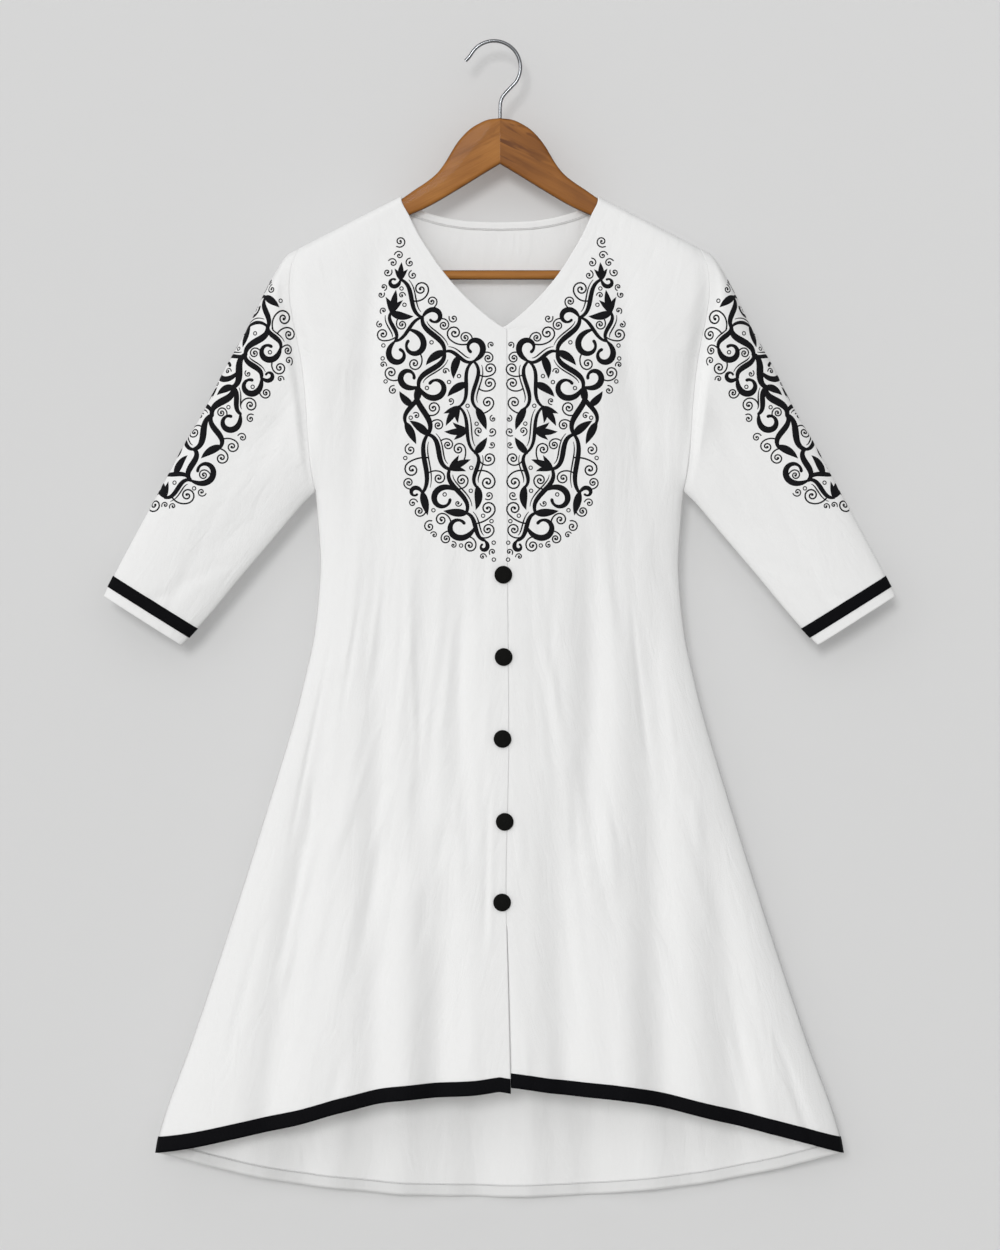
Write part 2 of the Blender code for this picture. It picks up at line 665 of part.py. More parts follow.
def make_hook():
    """One bent wire: flared tip, round crown, and a neck that runs down into the wood."""
    centre_x, centre_drop = -GARMENT_X, HOOK_RADIUS - WIRE_RADIUS
    bend = round_points(centre_x, centre_drop, HOOK_RADIUS, np.linspace(HOOK_FROM, HOOK_TO, HOOK_POINTS))
    route = [*WIRE_TIP, *bend, *WIRE_NECK]
    curve = bpy.data.curves.new("hanger_hook", "CURVE")
    curve.dimensions = "3D"
    curve.bevel_depth = WIRE_RADIUS * MM
    curve.bevel_resolution = 2
    curve.use_fill_caps = True
    line = curve.splines.new("POLY")
    line.points.add(len(route) - 1)
    for point, (x, drop) in zip(line.points, route):
        point.co = (x * MM, 0, -drop * MM, 1)
    add_object("hanger_hook", curve, finish("chrome_wire", (0.75, 0.76, 0.78), 0.15, 1.0))


make_fronts()
make_back()
make_sleeves()
make_buttons()
make_hanger()
make_hook()
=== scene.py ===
# %% [markdown]
# # An A-line kurta tunic on a wooden hanger
#
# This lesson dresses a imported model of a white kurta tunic: a long top with a V neck,
# three-quarter sleeves and a hem that is lower behind than in front. Black thread is
# embroidered round the neck and down the sleeves, five covered buttons run down the front,
# and black ribbon edges the cuffs and the front hem. The tunic hangs on a wooden hanger.
#
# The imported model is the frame: it says where each piece is. The pieces made here are finer
# copies of its surfaces, with the cloth's real thinness, and with thread, grain and weave.

# %% The frame and the tools
import math
import random

import bmesh
import bpy
import numpy as np
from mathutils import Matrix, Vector
from mathutils.bvhtree import BVHTree


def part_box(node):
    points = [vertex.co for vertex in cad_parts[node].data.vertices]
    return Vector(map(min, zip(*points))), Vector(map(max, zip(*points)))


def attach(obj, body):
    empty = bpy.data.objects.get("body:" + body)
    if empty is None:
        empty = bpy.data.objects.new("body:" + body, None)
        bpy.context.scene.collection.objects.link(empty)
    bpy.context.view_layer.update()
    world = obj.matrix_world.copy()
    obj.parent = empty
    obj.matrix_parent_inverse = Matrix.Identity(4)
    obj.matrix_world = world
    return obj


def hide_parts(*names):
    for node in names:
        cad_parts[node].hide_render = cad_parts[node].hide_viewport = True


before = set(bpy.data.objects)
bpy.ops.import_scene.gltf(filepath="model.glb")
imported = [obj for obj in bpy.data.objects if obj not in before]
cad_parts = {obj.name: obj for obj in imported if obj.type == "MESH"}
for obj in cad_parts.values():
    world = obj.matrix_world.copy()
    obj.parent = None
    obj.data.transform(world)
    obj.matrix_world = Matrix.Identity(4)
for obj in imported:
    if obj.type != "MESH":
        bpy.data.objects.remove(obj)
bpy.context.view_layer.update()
MM = 0.001
print("the frame holds", len(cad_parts), "solids")

# %% [markdown]
# ## One way to write a material's maths
#
# A material is a net of nodes. Wiring each one by hand is long to read, so a small class
# wraps an output socket, and `+`, `-` and `*` on it add the Math nodes. Colours and
# vectors don't go through Math nodes, because those turn a colour grey: they use their own.


# %% Sockets
class Signal:
    """One output of a finish's nodes, with operators that add Math nodes."""

    def __init__(self, finish, socket):
        self.finish, self.socket = finish, socket

    def maths(self, operation, *values):
        """One Math node, which works on signals and numbers."""
        return self.finish.node("Math", {"operation": operation}, dict(enumerate(values)))

    def __add__(self, other):
        return self.maths("ADD", self, other)

    def __radd__(self, other):
        return self.maths("ADD", other, self)

    def __sub__(self, other):
        return self.maths("SUBTRACT", self, other)

    def __rsub__(self, other):
        return self.maths("SUBTRACT", other, self)

    def __mul__(self, other):
        return self.maths("MULTIPLY", self, other)

    def __rmul__(self, other):
        return self.maths("MULTIPLY", other, self)

    def size(self):
        """How far the signal is from nothing, either way."""
        return self.maths("ABSOLUTE", self)


print("signals add, subtract and multiply")


# %% Finishes
class Finish:
    """A material under construction, named after what it covers."""

    def __init__(self, name):
        self.material = bpy.data.materials.new(name)
        self.material.use_nodes = True
        self.tree = self.material.node_tree
        self.shader = self.tree.nodes["Principled BSDF"]

    def put(self, socket, value):
        if isinstance(value, Signal):
            self.tree.links.new(value.socket, socket)
        else:
            socket.default_value = value

    def node(self, kind, settings=None, values=None, output=0):
        """Adds a node: its settings first, then what its sockets hold, then the output asked for."""
        node = self.tree.nodes.new("ShaderNode" + kind)
        for key, setting in (settings or {}).items():
            if key == "stops":
                ramp = node.color_ramp.elements
                while len(ramp) < len(setting):
                    ramp.new(0.5)
                for stop, (place, colour) in zip(ramp, setting):
                    stop.position, stop.color = place, (*colour, 1.0)
            else:
                setattr(node, key, setting)
        for key, value in (values or {}).items():
            self.put(node.inputs[key], value)
        return Signal(self, node.outputs[output])

    def laid(self):
        """Where a point lies on its sheet, in metres across and down."""
        return self.node("UVMap", {"uv_map": "weave"})

    def solid(self):
        """Where a point lies in its piece, in metres."""
        return self.node("TexCoord", output=3)

    def drawn(self, where, *scale):
        """Scales each axis on its own, so that what follows is drawn out along the smallest."""
        return self.node("Mapping", None, {"Vector": where, "Scale": scale})

    def noise(self, where, scale, detail, distortion=0.0):
        values = {"Vector": where, "Scale": scale, "Detail": detail, "Distortion": distortion}
        return self.node("TexNoise", None, values)

    def ribs(self, where, axis, scale, distortion, detail, detail_scale):
        """Even ribs along an axis, a little unsteady as thread is."""
        kinds = {"wave_type": "BANDS", "bands_direction": axis, "wave_profile": "SIN"}
        values = {"Vector": where, "Scale": scale, "Distortion": distortion}
        values.update({"Detail": detail, "Detail Scale": detail_scale})
        return self.node("TexWave", kinds, values, output=1)

    def fade(self, value, start, end, first, last, curve="LINEAR"):
        """Goes from a first value to a last one while a signal goes from start to end."""
        values = {"Value": value, 1: start, 2: end, 3: first, 4: last}
        return self.node("MapRange", {"interpolation_type": curve}, values)

    def mix(self, share, first, second):
        """A colour between two others, by a share from 0 to 1."""
        colours = [
            colour if isinstance(colour, Signal) else (*colour, 1.0) for colour in (first, second)
        ]
        sockets = {0: share, 6: colours[0], 7: colours[1]}
        return self.node("Mix", {"data_type": "RGBA"}, sockets, output=2)

    def base(self, **values):
        """Sets the shader's own sockets, with _ for a space in their names."""
        for key, value in values.items():
            self.put(self.shader.inputs[key.replace("_", " ")], value)
        return self

    def bump(self, height, distance):
        """Relief from a signal, with the distance in metres that a signal of 1 stands for."""
        return self.base(Normal=self.node("Bump", None, {"Height": height, "Distance": distance}))


print("finishes are ready")

# %% [markdown]
# ## The pattern pieces
#
# A tunic is cut as two fronts, a back and two sleeves. Hung on a hanger, each is a smooth
# sheet that bends over the hanger's top and hangs in long shallow folds. A sheet like that is
# best described by its own section functions: how far down, how far out and how far forward
# each point of the cut lies. "Drop" is millimetres down from the rail, and "half" is
# millimetres out from the garment's middle line.

# %% Driving dimensions, in millimetres
SIDES = ((-1, "left"), (1, "right"))
GARMENT_X = 6.0
CLOTH, RIBBON = 0.5, 0.6  # how thick they are
GAP = 0.3  # between a ribbon and its cloth
SEAM_GAP, ARMHOLE_GAP = 0.06, -0.15  # where sheets meet; less than none is an overlap
NECK_DROP, NECK_HALF = 168.0, 106.5
TIP_DROP, TIP_HALF = 226.0, 220.0
V_DROP, V_X = 313.5, 4.0
UNDERARM_DROP, SIDE_HEM_DROP = 493.5, 1221.0
RIDGE_RADIUS = 9.0
ARMHOLE_DEPTH = 19.0
SLIT, SLIT_TOP = 0.45, (940, 972)  # below the last button the fronts part
SEAM_DIP, SEAM_DIP_REACH = 8.0, 10.0  # the valley along the armhole seam
SLEEVE_CREASE, CREASE_AT, CREASE_REACH = 3.6, 11.0, 6.0  # the crease beside that seam
RING_RUN = 15.0  # from one sleeve ring to the next, near the armhole
LAP_UNDER, LAP_CLEAR, LAP_RISE = 18.0, 0.2, 5.0  # the right front under the left one
LAP_RECESS = CLOTH + 0.06
LAP_FALL, LAP_FALL_DROPS = 1.6, (955, 1120)  # it lies deeper still below the last button
print("the sides hang", SIDE_HEM_DROP - NECK_DROP, "mm below the neck")

# %% Outlines of the cut
NECK_EDGE = (
    (168, 108.2), (173.2, 108), (190, 100.3), (211, 90.5), (231, 78.5), (251, 65.5), (271, 49.5),
    (293, 28), (305, 14), (313.5, 2.5),
)
ARMHOLE = (
    (226, 220), (250, 229), (273, 230.5), (300, 227.5), (325, 222.5), (360, 216.5), (400, 212.5),
    (440, 210), (470, 207), (493.5, 202.5),
)
SIDE_SEAM = (
    (493.5, 202.5), (521, 200), (576, 197), (609, 199), (653, 204), (697, 213.5), (741, 224.5),
    (829, 251), (961, 292.5), (1093, 336.5), (1204, 375), (1221, 378),
)
LAP_EDGE = ((313, 8.3), (560, 9), (760, 10.5), (930, 7.5), (1031, 9.7), (1090, 11.1), (1155, 12.6))
LEFT_HEM = (
    (0, 1150), (27, 1154), (110, 1160), (169, 1172.5), (225, 1188.5), (289, 1203), (342, 1215),
    (378, 1221),
)
RIGHT_HEM = (
    (0, 1145), (15, 1146), (67, 1153.5), (139, 1160.5), (187, 1170), (240, 1183.5), (307, 1200.5),
    (378, 1221),
)
BACK_HEM = ((0, 1275), (100, 1272), (169, 1265.5), (226, 1258.5), (307, 1241.5), (378, 1221))
BACK_NECK = ((0, 196.5), (30, 195.5), (55, 192.3), (72, 188.2), (85, 184), (97, 178.5), (108, 173.5))
FRONT_DEPTH = (
    (168, 0), (200, 2), (250, 9), (313, 17), (400, 21), (575, 19), (800, 22), (1000, 27),
    (1155, 32),
)
BACK_DEPTH = ((168, 1), (200, 4), (250, 9), (400, 17), (575, 17), (800, 20), (1000, 25), (1275, 31))
SLEEVE_OUTER = (
    (220, 226), (233, 233.5), (246, 252), (276, 312), (303, 361), (325.5, 406), (345.5, 440),
    (369, 484), (395, 531.5), (424.5, 587), (435.5, 608.5),
)
SLEEVE_INNER = ((202.5, 493.5), (214.5, 505), (237, 531.5), (282, 584.5), (326, 637), (350, 662.8))
# Sleeve sections: share down the outer edge, share down the inner edge, half thickness, fullness
SLEEVE_RINGS = (
    (0, 0, 19, 5), (0.04, 0.03, 18.4, 4.6), (0.1, 0.08, 17.4, 4), (0.19, 0.16, 16, 3.2),
    (0.3, 0.26, 14.6, 2.6), (0.42, 0.37, 13.4, 2.4), (0.54, 0.48, 12.6, 2.3), (0.66, 0.59, 12, 2.2),
    (0.77, 0.7, 11.5, 2.2), (0.87, 0.8, 10.8, 2.2), (0.9445, 0.885, 10.2, 2.2),
    (0.975, 0.947, 9.8, 2.2), (1, 1, 9.4, 2.2),
)
UNDERARM_FULLNESS = 2.5
SEAM_SHARE = 0.016  # the shoulder seam, as a share of the way from the ridge to the underarm
BACK_TOP = SEAM_SHARE + 0.001  # the back's upper edge, just past that seam
RIBBON_SHARE = 0.9755  # the ribbon's upper edge, as a share of the way on to the hem
print("the cut is", 2 * SIDE_SEAM[-1][1], "mm wide at the hem")

# %% [markdown]
# ## Folds
#
# White cloth shows its shape only through its folds, so they are worked out with care. A
# large fold is a shallow trough from one point to another, deepest halfway. Between the
# large ones lie many faint creases from wearing and pressing, drawn at random from a fixed
# seed so that they come out the same each time.

# %% Large folds: x and drop at the top, x and drop at the bottom, half width, depth
FRONT_FOLDS = (
    (-133, 215, -164, 560, 16, 3), (132, 230, 158, 540, 16, 2.5), (-126, 400, -138, 1500, 20, 4.5),
    (-79, 540, -86, 930, 18, 4), (-42, 560, -44, 900, 17, 4), (-58, 860, -76, 1450, 20, 5),
    (-185, 690, -285, 1400, 22, 5), (-105, 900, -112, 1500, 22, -3.5), (104, 540, 99, 900, 18, 4.5),
    (160, 580, 190, 1450, 22, 5), (62, 800, 84, 1500, 20, 4.5), (235, 850, 292, 1500, 24, 5),
    (138, 950, 146, 1500, 22, -3.5),
)
BACK_FOLDS = (
    (-120, 240, -150, 620, 18, 3), (96, 250, 150, 600, 18, 3.5), (-60, 420, -70, 1050, 20, 4.5),
    (38, 520, 30, 1600, 22, 5), (-150, 600, -200, 1600, 24, 6), (140, 640, 185, 1600, 24, 6),
    (-20, 880, -28, 1650, 22, -5), (-100, 900, -120, 1650, 22, 5), (95, 900, 108, 1650, 22, -5),
    (-230, 880, -300, 1550, 26, 6), (235, 860, 290, 1550, 26, -5),
)
FOLD_STRENGTH = 1.8
BACK_SHARE = 0.6  # how deep the back's folds are beside those in front
# No fold reaches the side seam or the lap: a share of the half width, and millimetres
FOLD_SIDE, FOLD_LAP = 0.2, (15, 45)
CREASE_SIDE, CREASE_LAP = 0.12, (6, 20)
# Sleeve folds: face, ring and share across at the start and at the end, half width, depth share
SLEEVE_FOLDS = (
    (1, 1.5, 0.72, 6, 0.3, 0.13, 0.22), (1, 3, 0.9, 9, 0.6, 0.12, 0.2),
    (1, 5, 0.5, 12, 0.72, 0.05, 0.1), (1, 6, 0.95, 11, 0.35, 0.06, 0.13),
    (1, 8.5, 0.8, 11, 0.2, 0.05, 0.09), (1, 0.5, 0.55, 5, 0.62, 0.07, 0.1),
    (-1, 1, 0.66, 7, 0.4, 0.14, 0.24), (-1, 4, 0.3, 10, 0.55, 0.12, 0.18),
)

folds = len(FRONT_FOLDS) + len(BACK_FOLDS)
print(folds, "large folds on the body and", len(SLEEVE_FOLDS), "on each sleeve")


# %% Helpers for smooth outlines and folds
def smooth(table, at):
    """The value of a two-column table at a place: a cubic that never overshoots its rows."""
    place, value = np.array(table, float).T
    step = np.diff(place)
    rise = np.diff(value) / step
    product = rise[:-1] * rise[1:]
    total = np.where(product > 0, rise[:-1] + rise[1:], 1.0)
    slope = np.concatenate([rise[:1], np.where(product > 0, 2 * product / total, 0.0), rise[-1:]])
    at = np.clip(at, place[0], place[-1])
    row = np.clip(np.searchsorted(place, at, side="right") - 1, 0, len(step) - 1)
    t = (at - place[row]) / step[row]
    ends = (1 + 2 * t) * (1 - t) ** 2 * value[row] + t * t * (3 - 2 * t) * value[row + 1]
    return ends + t * (1 - t) * step[row] * ((1 - t) * slope[row] - t * slope[row + 1])


def ease(value, low, high):
    """From 0 to 1 while a value goes from low to high, without a kink at either end."""
    t = np.clip((value - low) / (high - low), 0.0, 1.0)
    return t * t * (3 - 2 * t)


def arc_lengths(path):
    """How far each point lies along a path."""
    steps = np.diff(np.array(path, float), axis=0)
    return np.concatenate([[0], np.cumsum(np.hypot(*steps.T))])


def along(path, share):
    """Points at shares of a path's length."""
    points, run = np.array(path, float), arc_lengths(path)
    at = share * run[-1]
    return [smooth(np.column_stack([run, points[:, axis]]), at) for axis in (0, 1)]


def fold_depth(folds, x, drop):
    """How deep the folds are at a place of the hanging cloth."""
    total = np.zeros(np.broadcast(x, drop).shape)
    for top_x, top, bottom_x, bottom, half_width, depth in folds:
        share = np.clip((drop - top) / (bottom - top), 0, 1)
        aside = (x - top_x - (bottom_x - top_x) * share) / half_width
        total += depth * np.exp(-aside * aside) * np.sin(math.pi * share) ** 0.7
    return total * FOLD_STRENGTH


CREASES = 130
CREASE_FAN = 950  # how far above a crease all their lines would meet


def faint_creases(seed, half_width, top, bottom):
    """Short soft creases that fan out towards the hem, as A-line cloth falls."""
    draw = random.Random(seed)
    creases = []
    for _ in range(CREASES):
        drop = draw.uniform(top, bottom)
        length = draw.uniform(60, 240)
        spread = 0.9 * smooth(SIDE_SEAM, max(drop, 500.0))
        x = draw.uniform(-spread, spread)
        lean = x / CREASE_FAN + draw.gauss(0, 0.07)
        depth = draw.choice((-1, 1)) * draw.uniform(0.3, 1.15)
        width = half_width * draw.uniform(0.6, 1.7)
        creases.append((x, drop, x + lean * length, drop + length, width, depth))
    return tuple(creases)


FRONT_CREASES = faint_creases(11, 4.6, 330, 1150)
BACK_CREASES = faint_creases(23, 5.0, 260, 1180)
print(len(FRONT_CREASES) + len(BACK_CREASES), "faint creases")

# %% [markdown]
# ## Where each point of the cloth hangs
#
# The shoulders bend over the hanger, so the cloth there follows a quarter circle. Below, each
# section of the body is a flat lens: both sides meet at the side seam and stand furthest
# apart in the middle. The sleeves are flattened tubes. The functions take whole arrays, so
# that a fine grid is placed at once.

# %% The body's sections
def section_depth(share, fullness):
    """Thickness of a flattened tube at a share of the way across it, 1 in its middle."""
    across = 1 - 2 * share
    power = np.where(across > 0, fullness, UNDERARM_FULLNESS)
    return np.sqrt(np.maximum(1 - np.abs(across) ** power, 0))


def ridge_drop(across):
    """How far down the shoulder ridge lies, at a share of the way out to its tip."""
    neck = NECK_HALF / TIP_HALF
    return NECK_DROP + (TIP_DROP - NECK_DROP) * np.maximum(across - neck, 0) / (1 - neck)


def ridge_bend(below):
    """How far forward the cloth has come at a depth below the ridge that it bends over."""
    left = RIDGE_RADIUS - np.clip(below, 0, RIDGE_RADIUS)
    return np.sqrt(RIDGE_RADIUS**2 - left**2)


def outer_edge(upper, lower):
    """The armhole or the side seam at a section: drop, half, and depth there."""
    drop = TIP_DROP + upper * (UNDERARM_DROP - TIP_DROP) + lower * (SIDE_HEM_DROP - UNDERARM_DROP)
    half = np.where(lower > 0, smooth(SIDE_SEAM, drop), smooth(ARMHOLE, drop))
    depth = ARMHOLE_DEPTH * section_depth(upper, SLEEVE_RINGS[0][3])
    return drop, half, np.where(lower > 0, 0.0, depth)


SIDE_END = float(smooth(SIDE_SEAM, np.array(float(SIDE_HEM_DROP))))


def seam_dip(beside, share, crease=0.0):
    """The shallow valley along the armhole seam, by distance from it and share down it."""
    valley = SEAM_DIP * np.exp(-((beside / SEAM_DIP_REACH) ** 2))
    valley = valley + crease * np.exp(-(((beside - CREASE_AT) / CREASE_REACH) ** 2))
    return valley * np.sin(math.pi * np.clip(share, 0, 1)) ** 1.3


def body_depth(x, drop, half, edge, upper, depths):
    """How far forward the body's cloth lies, from its middle to its edge."""
    full = ridge_bend(drop - ridge_drop(np.abs(x) / half)) + depths
    past_neck = np.maximum(np.abs(x) - NECK_HALF, 0) / (half - NECK_HALF)
    across = np.minimum(past_neck * (1 - upper) + np.abs(x) / half * upper, 1.0)
    lower_part = ease(upper, 0.5, 1)
    near_edge = across ** (2 + 10 * lower_part)
    return full * (1 - across * across) ** (1 - 0.5 * lower_part) + edge * near_edge


def inner_edge(side, drop):
    """The neck edge of a front, and below the V its edge at the lap."""
    neck = side * smooth(NECK_EDGE, drop) + V_X * (drop - NECK_DROP) / (V_DROP - NECK_DROP)
    under = LAP_UNDER - (LAP_UNDER + SLIT) * ease(drop, *SLIT_TOP)
    lap = smooth(LAP_EDGE, drop) - (under if side > 0 else 0)
    return np.where(drop <= V_DROP, neck, lap)


print("the side seams end", round(SIDE_END), "mm out")

# %% A front and the back
BACK_CREASE_DROPS = (230, 300)  # the back's faint creases set in between these


def front_at(side, steps_in, out, upper, lower):
    """Points of a front. steps_in is millimetres from its inner edge, out a share of the rest."""
    above = np.abs(upper)
    _, half, edge = outer_edge(above, lower)
    hem = LEFT_HEM if side < 0 else RIGHT_HEM
    inner_drop = NECK_DROP + above * (UNDERARM_DROP - NECK_DROP) + lower * (hem[0][1] - UNDERARM_DROP)
    near = inner_edge(side, inner_drop) + side * steps_in
    x = near + (side * half - near) * out
    ridge = ridge_drop(np.abs(x) / half)
    hanging = UNDERARM_DROP + lower * (smooth(hem, np.abs(x) / half * SIDE_END) - UNDERARM_DROP)
    drop = np.where(lower > 0, hanging, ridge + above * (UNDERARM_DROP - ridge))
    inward = 1 - np.abs(x) / half
    front, behind = smooth(FRONT_DEPTH, drop), smooth(BACK_DEPTH, drop)
    over_shoulder = np.clip(-upper / SEAM_SHARE, 0, 1)
    depth = body_depth(x, drop, half, edge, above, front + (behind - front) * over_shoulder)
    depth += SEAM_GAP / 2 * np.maximum(upper, 0)
    from_lap = np.abs(x - V_X)
    flat = ease(inward, 0, FOLD_SIDE) * ease(from_lap, *FOLD_LAP)
    depth -= fold_depth(FRONT_FOLDS, x, drop) * flat
    creased = fold_depth(FRONT_CREASES, x, drop) * ease(inward, 0, CREASE_SIDE)
    depth -= creased * ease(from_lap, *CREASE_LAP)
    depth -= seam_dip(half - np.abs(x), above) * (lower <= 0)
    if side > 0:
        rise = np.clip((smooth(LAP_EDGE, drop) + LAP_CLEAR + LAP_RISE - x) / LAP_RISE, 0, 1)
        recess = LAP_RECESS + LAP_FALL * ease(drop, *LAP_FALL_DROPS)
        depth -= np.where(inner_drop > V_DROP - 1, recess * rise, 0)
    return np.stack([x, np.where(upper < 0, depth, -depth), -drop], axis=-1)


def back_at(across, upper, lower):
    """Points of the back. across runs from -1 to 1, half of the way to each side by the neck."""
    _, half, edge = outer_edge(upper, lower)
    neck_turn = math.asin(BACK_NECK[-1][0] / TIP_HALF)
    size = np.abs(across)
    neck_share = 1 / 3
    past_neck = np.maximum(size - neck_share, 0) / (1 - neck_share)
    turn = neck_turn * np.minimum(size / neck_share, 1) + (math.pi / 2 - neck_turn) * past_neck
    x = np.sign(across) * half * np.sin(turn)
    ridge = ridge_drop(np.sin(turn))
    top = np.where(
        size < neck_share - 1e-6,
        smooth(BACK_NECK, TIP_HALF * np.sin(turn)),
        ridge + BACK_TOP * (UNDERARM_DROP - ridge),
    )
    hem = smooth(BACK_HEM, np.abs(x) / half * SIDE_END)
    hanging = UNDERARM_DROP + lower * (hem - UNDERARM_DROP)
    below = top + (UNDERARM_DROP - top) * (upper - BACK_TOP) / (1 - BACK_TOP)
    drop = np.where(lower > 0, hanging, below)
    inward = 1 - np.abs(x) / half
    depth = body_depth(x, drop, half, edge, upper, smooth(BACK_DEPTH, drop)) + SEAM_GAP / 2 * upper
    depth -= fold_depth(BACK_FOLDS, x, drop) * ease(inward, 0, FOLD_SIDE) * BACK_SHARE
    creased = fold_depth(BACK_CREASES, x, drop) * ease(inward, 0, CREASE_SIDE)
    depth -= creased * ease(drop, *BACK_CREASE_DROPS) * BACK_SHARE
    return np.stack([x, depth, -drop], axis=-1)


print("the back's creases set in", BACK_CREASE_DROPS[0], "mm down")


# %% A sleeve
def sleeve_at(side, around, ring):
    """Points of a sleeve. around runs 0 to 1 down the front and on to 2 up the back."""
    face = np.where(around <= 1, 1.0, -1.0)
    share = np.where(around <= 1, around, 2 - around)
    numbers = np.arange(len(SLEEVE_RINGS))
    outer_share, inner_share, thickness, fullness = (
        smooth(np.column_stack([numbers, column]), ring) for column in np.array(SLEEVE_RINGS).T
    )
    outer, inner = along(SLEEVE_OUTER, outer_share), along(SLEEVE_INNER, inner_share)
    half = outer[0] + (inner[0] - outer[0]) * share
    drop = outer[1] + (inner[1] - outer[1]) * share
    seam_drop, seam_half, _ = outer_edge(share, np.zeros_like(share))
    bow = seam_half - TIP_HALF - (SIDE_SEAM[0][1] - TIP_HALF) * share
    half = np.where(ring <= 0, seam_half + ARMHOLE_GAP, half + bow * (1 - outer_share) ** 3)
    drop = np.where(ring <= 0, seam_drop, drop)
    depth = thickness * section_depth(share, fullness)
    for fold_face, first_ring, first, last_ring, last, half_width, fold in SLEEVE_FOLDS:
        run = np.clip((ring - first_ring) / (last_ring - first_ring), 0, 1)
        aside = (share - first - (last - first) * run) / half_width
        pressed = 1 - fold * np.exp(-aside * aside) * np.sin(math.pi * run)
        depth = np.where(fold_face == face, depth * pressed, depth)
    depth = depth - np.where(face > 0, seam_dip(ring * RING_RUN, share, SLEEVE_CREASE), 0)
    return np.stack([side * half, -face * depth, -drop], axis=-1)


print("the underarm hangs at", UNDERARM_DROP, "mm")

# %% [markdown]
# ## Laying a sheet on its sections
#
# A flat grid is the natural start for cloth: its corners are moved to their places, and its
# two directions stay as a UV map, so that the weave follows the cloth round the shoulder and
# the sleeve. A Solidify modifier then gives it the thinness of a turned woven cloth.


# %% Even steps, and linking a piece
def split(stops, span, spacing):
    """Even steps of about one spacing between stops that have to be met."""
    places = [stops[0]]
    for start, end in zip(stops, stops[1:]):
        count = max(1, math.ceil((end - start) * span / spacing))
        places += [start + (end - start) * step / count for step in range(1, count + 1)]
    return np.array(places)


SHARP_EDGE = math.radians(50)
EVEN_COLUMNS, EVEN_BLEND = 7, 60  # how gently the evening out sets in, in columns and millimetres


def linked(name, shape, finish):
    """Links a shape as an object with one finish."""
    mesh = bpy.data.meshes.new(name)
    shape.to_mesh(mesh)
    shape.free()
    mesh.materials.append(finish.material)
    made = bpy.data.objects.new(name, mesh)
    bpy.context.scene.collection.objects.link(made)
    return made


def add_piece(name, shape, finish, replaced):
    """Links a finished shape as one named piece that rides on the frame."""
    for face in shape.faces:
        face.smooth = True
    for edge in shape.edges:
        edge.smooth = edge.calc_face_angle(0.0) < SHARP_EDGE
    piece = linked(name, shape, finish)
    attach(piece, "root")
    if replaced:
        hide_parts(*replaced)
    return piece


def face_outward(shape):
    """Turns the faces of an open sheet away from the middle of the garment."""
    shape.normal_update()
    centre = sum((face.calc_center_median() for face in shape.faces), Vector()) / len(shape.faces)
    centre.y = 0
    outward = sum(face.normal.dot(face.calc_center_median() - centre) for face in shape.faces)
    if outward < 0:
        bmesh.ops.reverse_faces(shape, faces=shape.faces[:])
    shape.normal_update()


print("a sheet is sharp only past", round(math.degrees(SHARP_EDGE)), "degrees")


# %% From a grid to a hanging sheet
def relaxed(table, rounds, top, bottom):
    """Evens out a sheet's depth down its columns, between two drops and away from its edges."""
    steps = np.arange(table.shape[1])
    from_edge = ease(np.minimum(steps, steps[::-1]), 0, EVEN_COLUMNS)
    drop = -table[..., 2]
    share = ease(drop, top, top + EVEN_BLEND) * (1 - ease(drop, bottom - EVEN_BLEND, bottom))
    share *= from_edge
    for _ in range(rounds):
        depth = table[..., 1]
        bend = np.zeros_like(depth)
        bend[1:-1] = (depth[:-2] - 2 * depth[1:-1] + depth[2:]) / 4
        table[..., 1] = depth + bend * share


def laid_grid(columns, rows, place, tube=False, even_out=None):
    """A grid of columns by rows, placed by a function of two arrays, with a UV map in metres."""
    shape = bmesh.new()
    bmesh.ops.create_grid(shape, x_segments=columns, y_segments=rows, size=0.5)
    cells = np.array([vertex.co[:2] for vertex in shape.verts]) + 0.5
    points = place(cells[:, 0] * columns, cells[:, 1] * rows)
    order = np.lexsort((np.rint(cells[:, 0] * columns), np.rint(cells[:, 1] * rows)))
    if even_out:
        table = points[order].reshape(rows + 1, columns + 1, 3)
        relaxed(table, *even_out)
        points[order] = table.reshape(-1, 3)
    points = (points + [GARMENT_X, 0, 0]) * MM
    table = points[order].reshape(rows + 1, columns + 1, 3)
    run_across = np.linalg.norm(np.diff(table, axis=1, prepend=table[:, :1]), axis=2).cumsum(axis=1)
    run_down = np.linalg.norm(np.diff(table, axis=0, prepend=table[:1]), axis=2).cumsum(axis=0)
    middle_run = run_across[:, [columns // 2]]
    uvs = np.empty((len(points), 2))
    uvs[order] = np.stack([run_across - middle_run, run_down], axis=-1).reshape(-1, 2)
    weave = shape.loops.layers.uv.new("weave")
    for number, (vertex, point) in enumerate(zip(shape.verts, points)):
        vertex.co = point
        for loop in vertex.link_loops:
            loop[weave].uv = uvs[number]
    if tube:
        bmesh.ops.remove_doubles(shape, verts=shape.verts[:], dist=1e-6)
    face_outward(shape)
    return shape


def thicken(piece, thickness, outward=False):
    """Gives a sheet its two sides, grown inward from where it was laid or outward."""
    wall = piece.modifiers.new("cloth_thickness", "SOLIDIFY")
    wall.thickness = thickness * MM
    wall.offset = 1 if outward else -1
    wall.use_quality_normals = True


def cloth_area(piece):
    return sum(face.area for face in piece.data.polygons)


print("sheets can be laid")

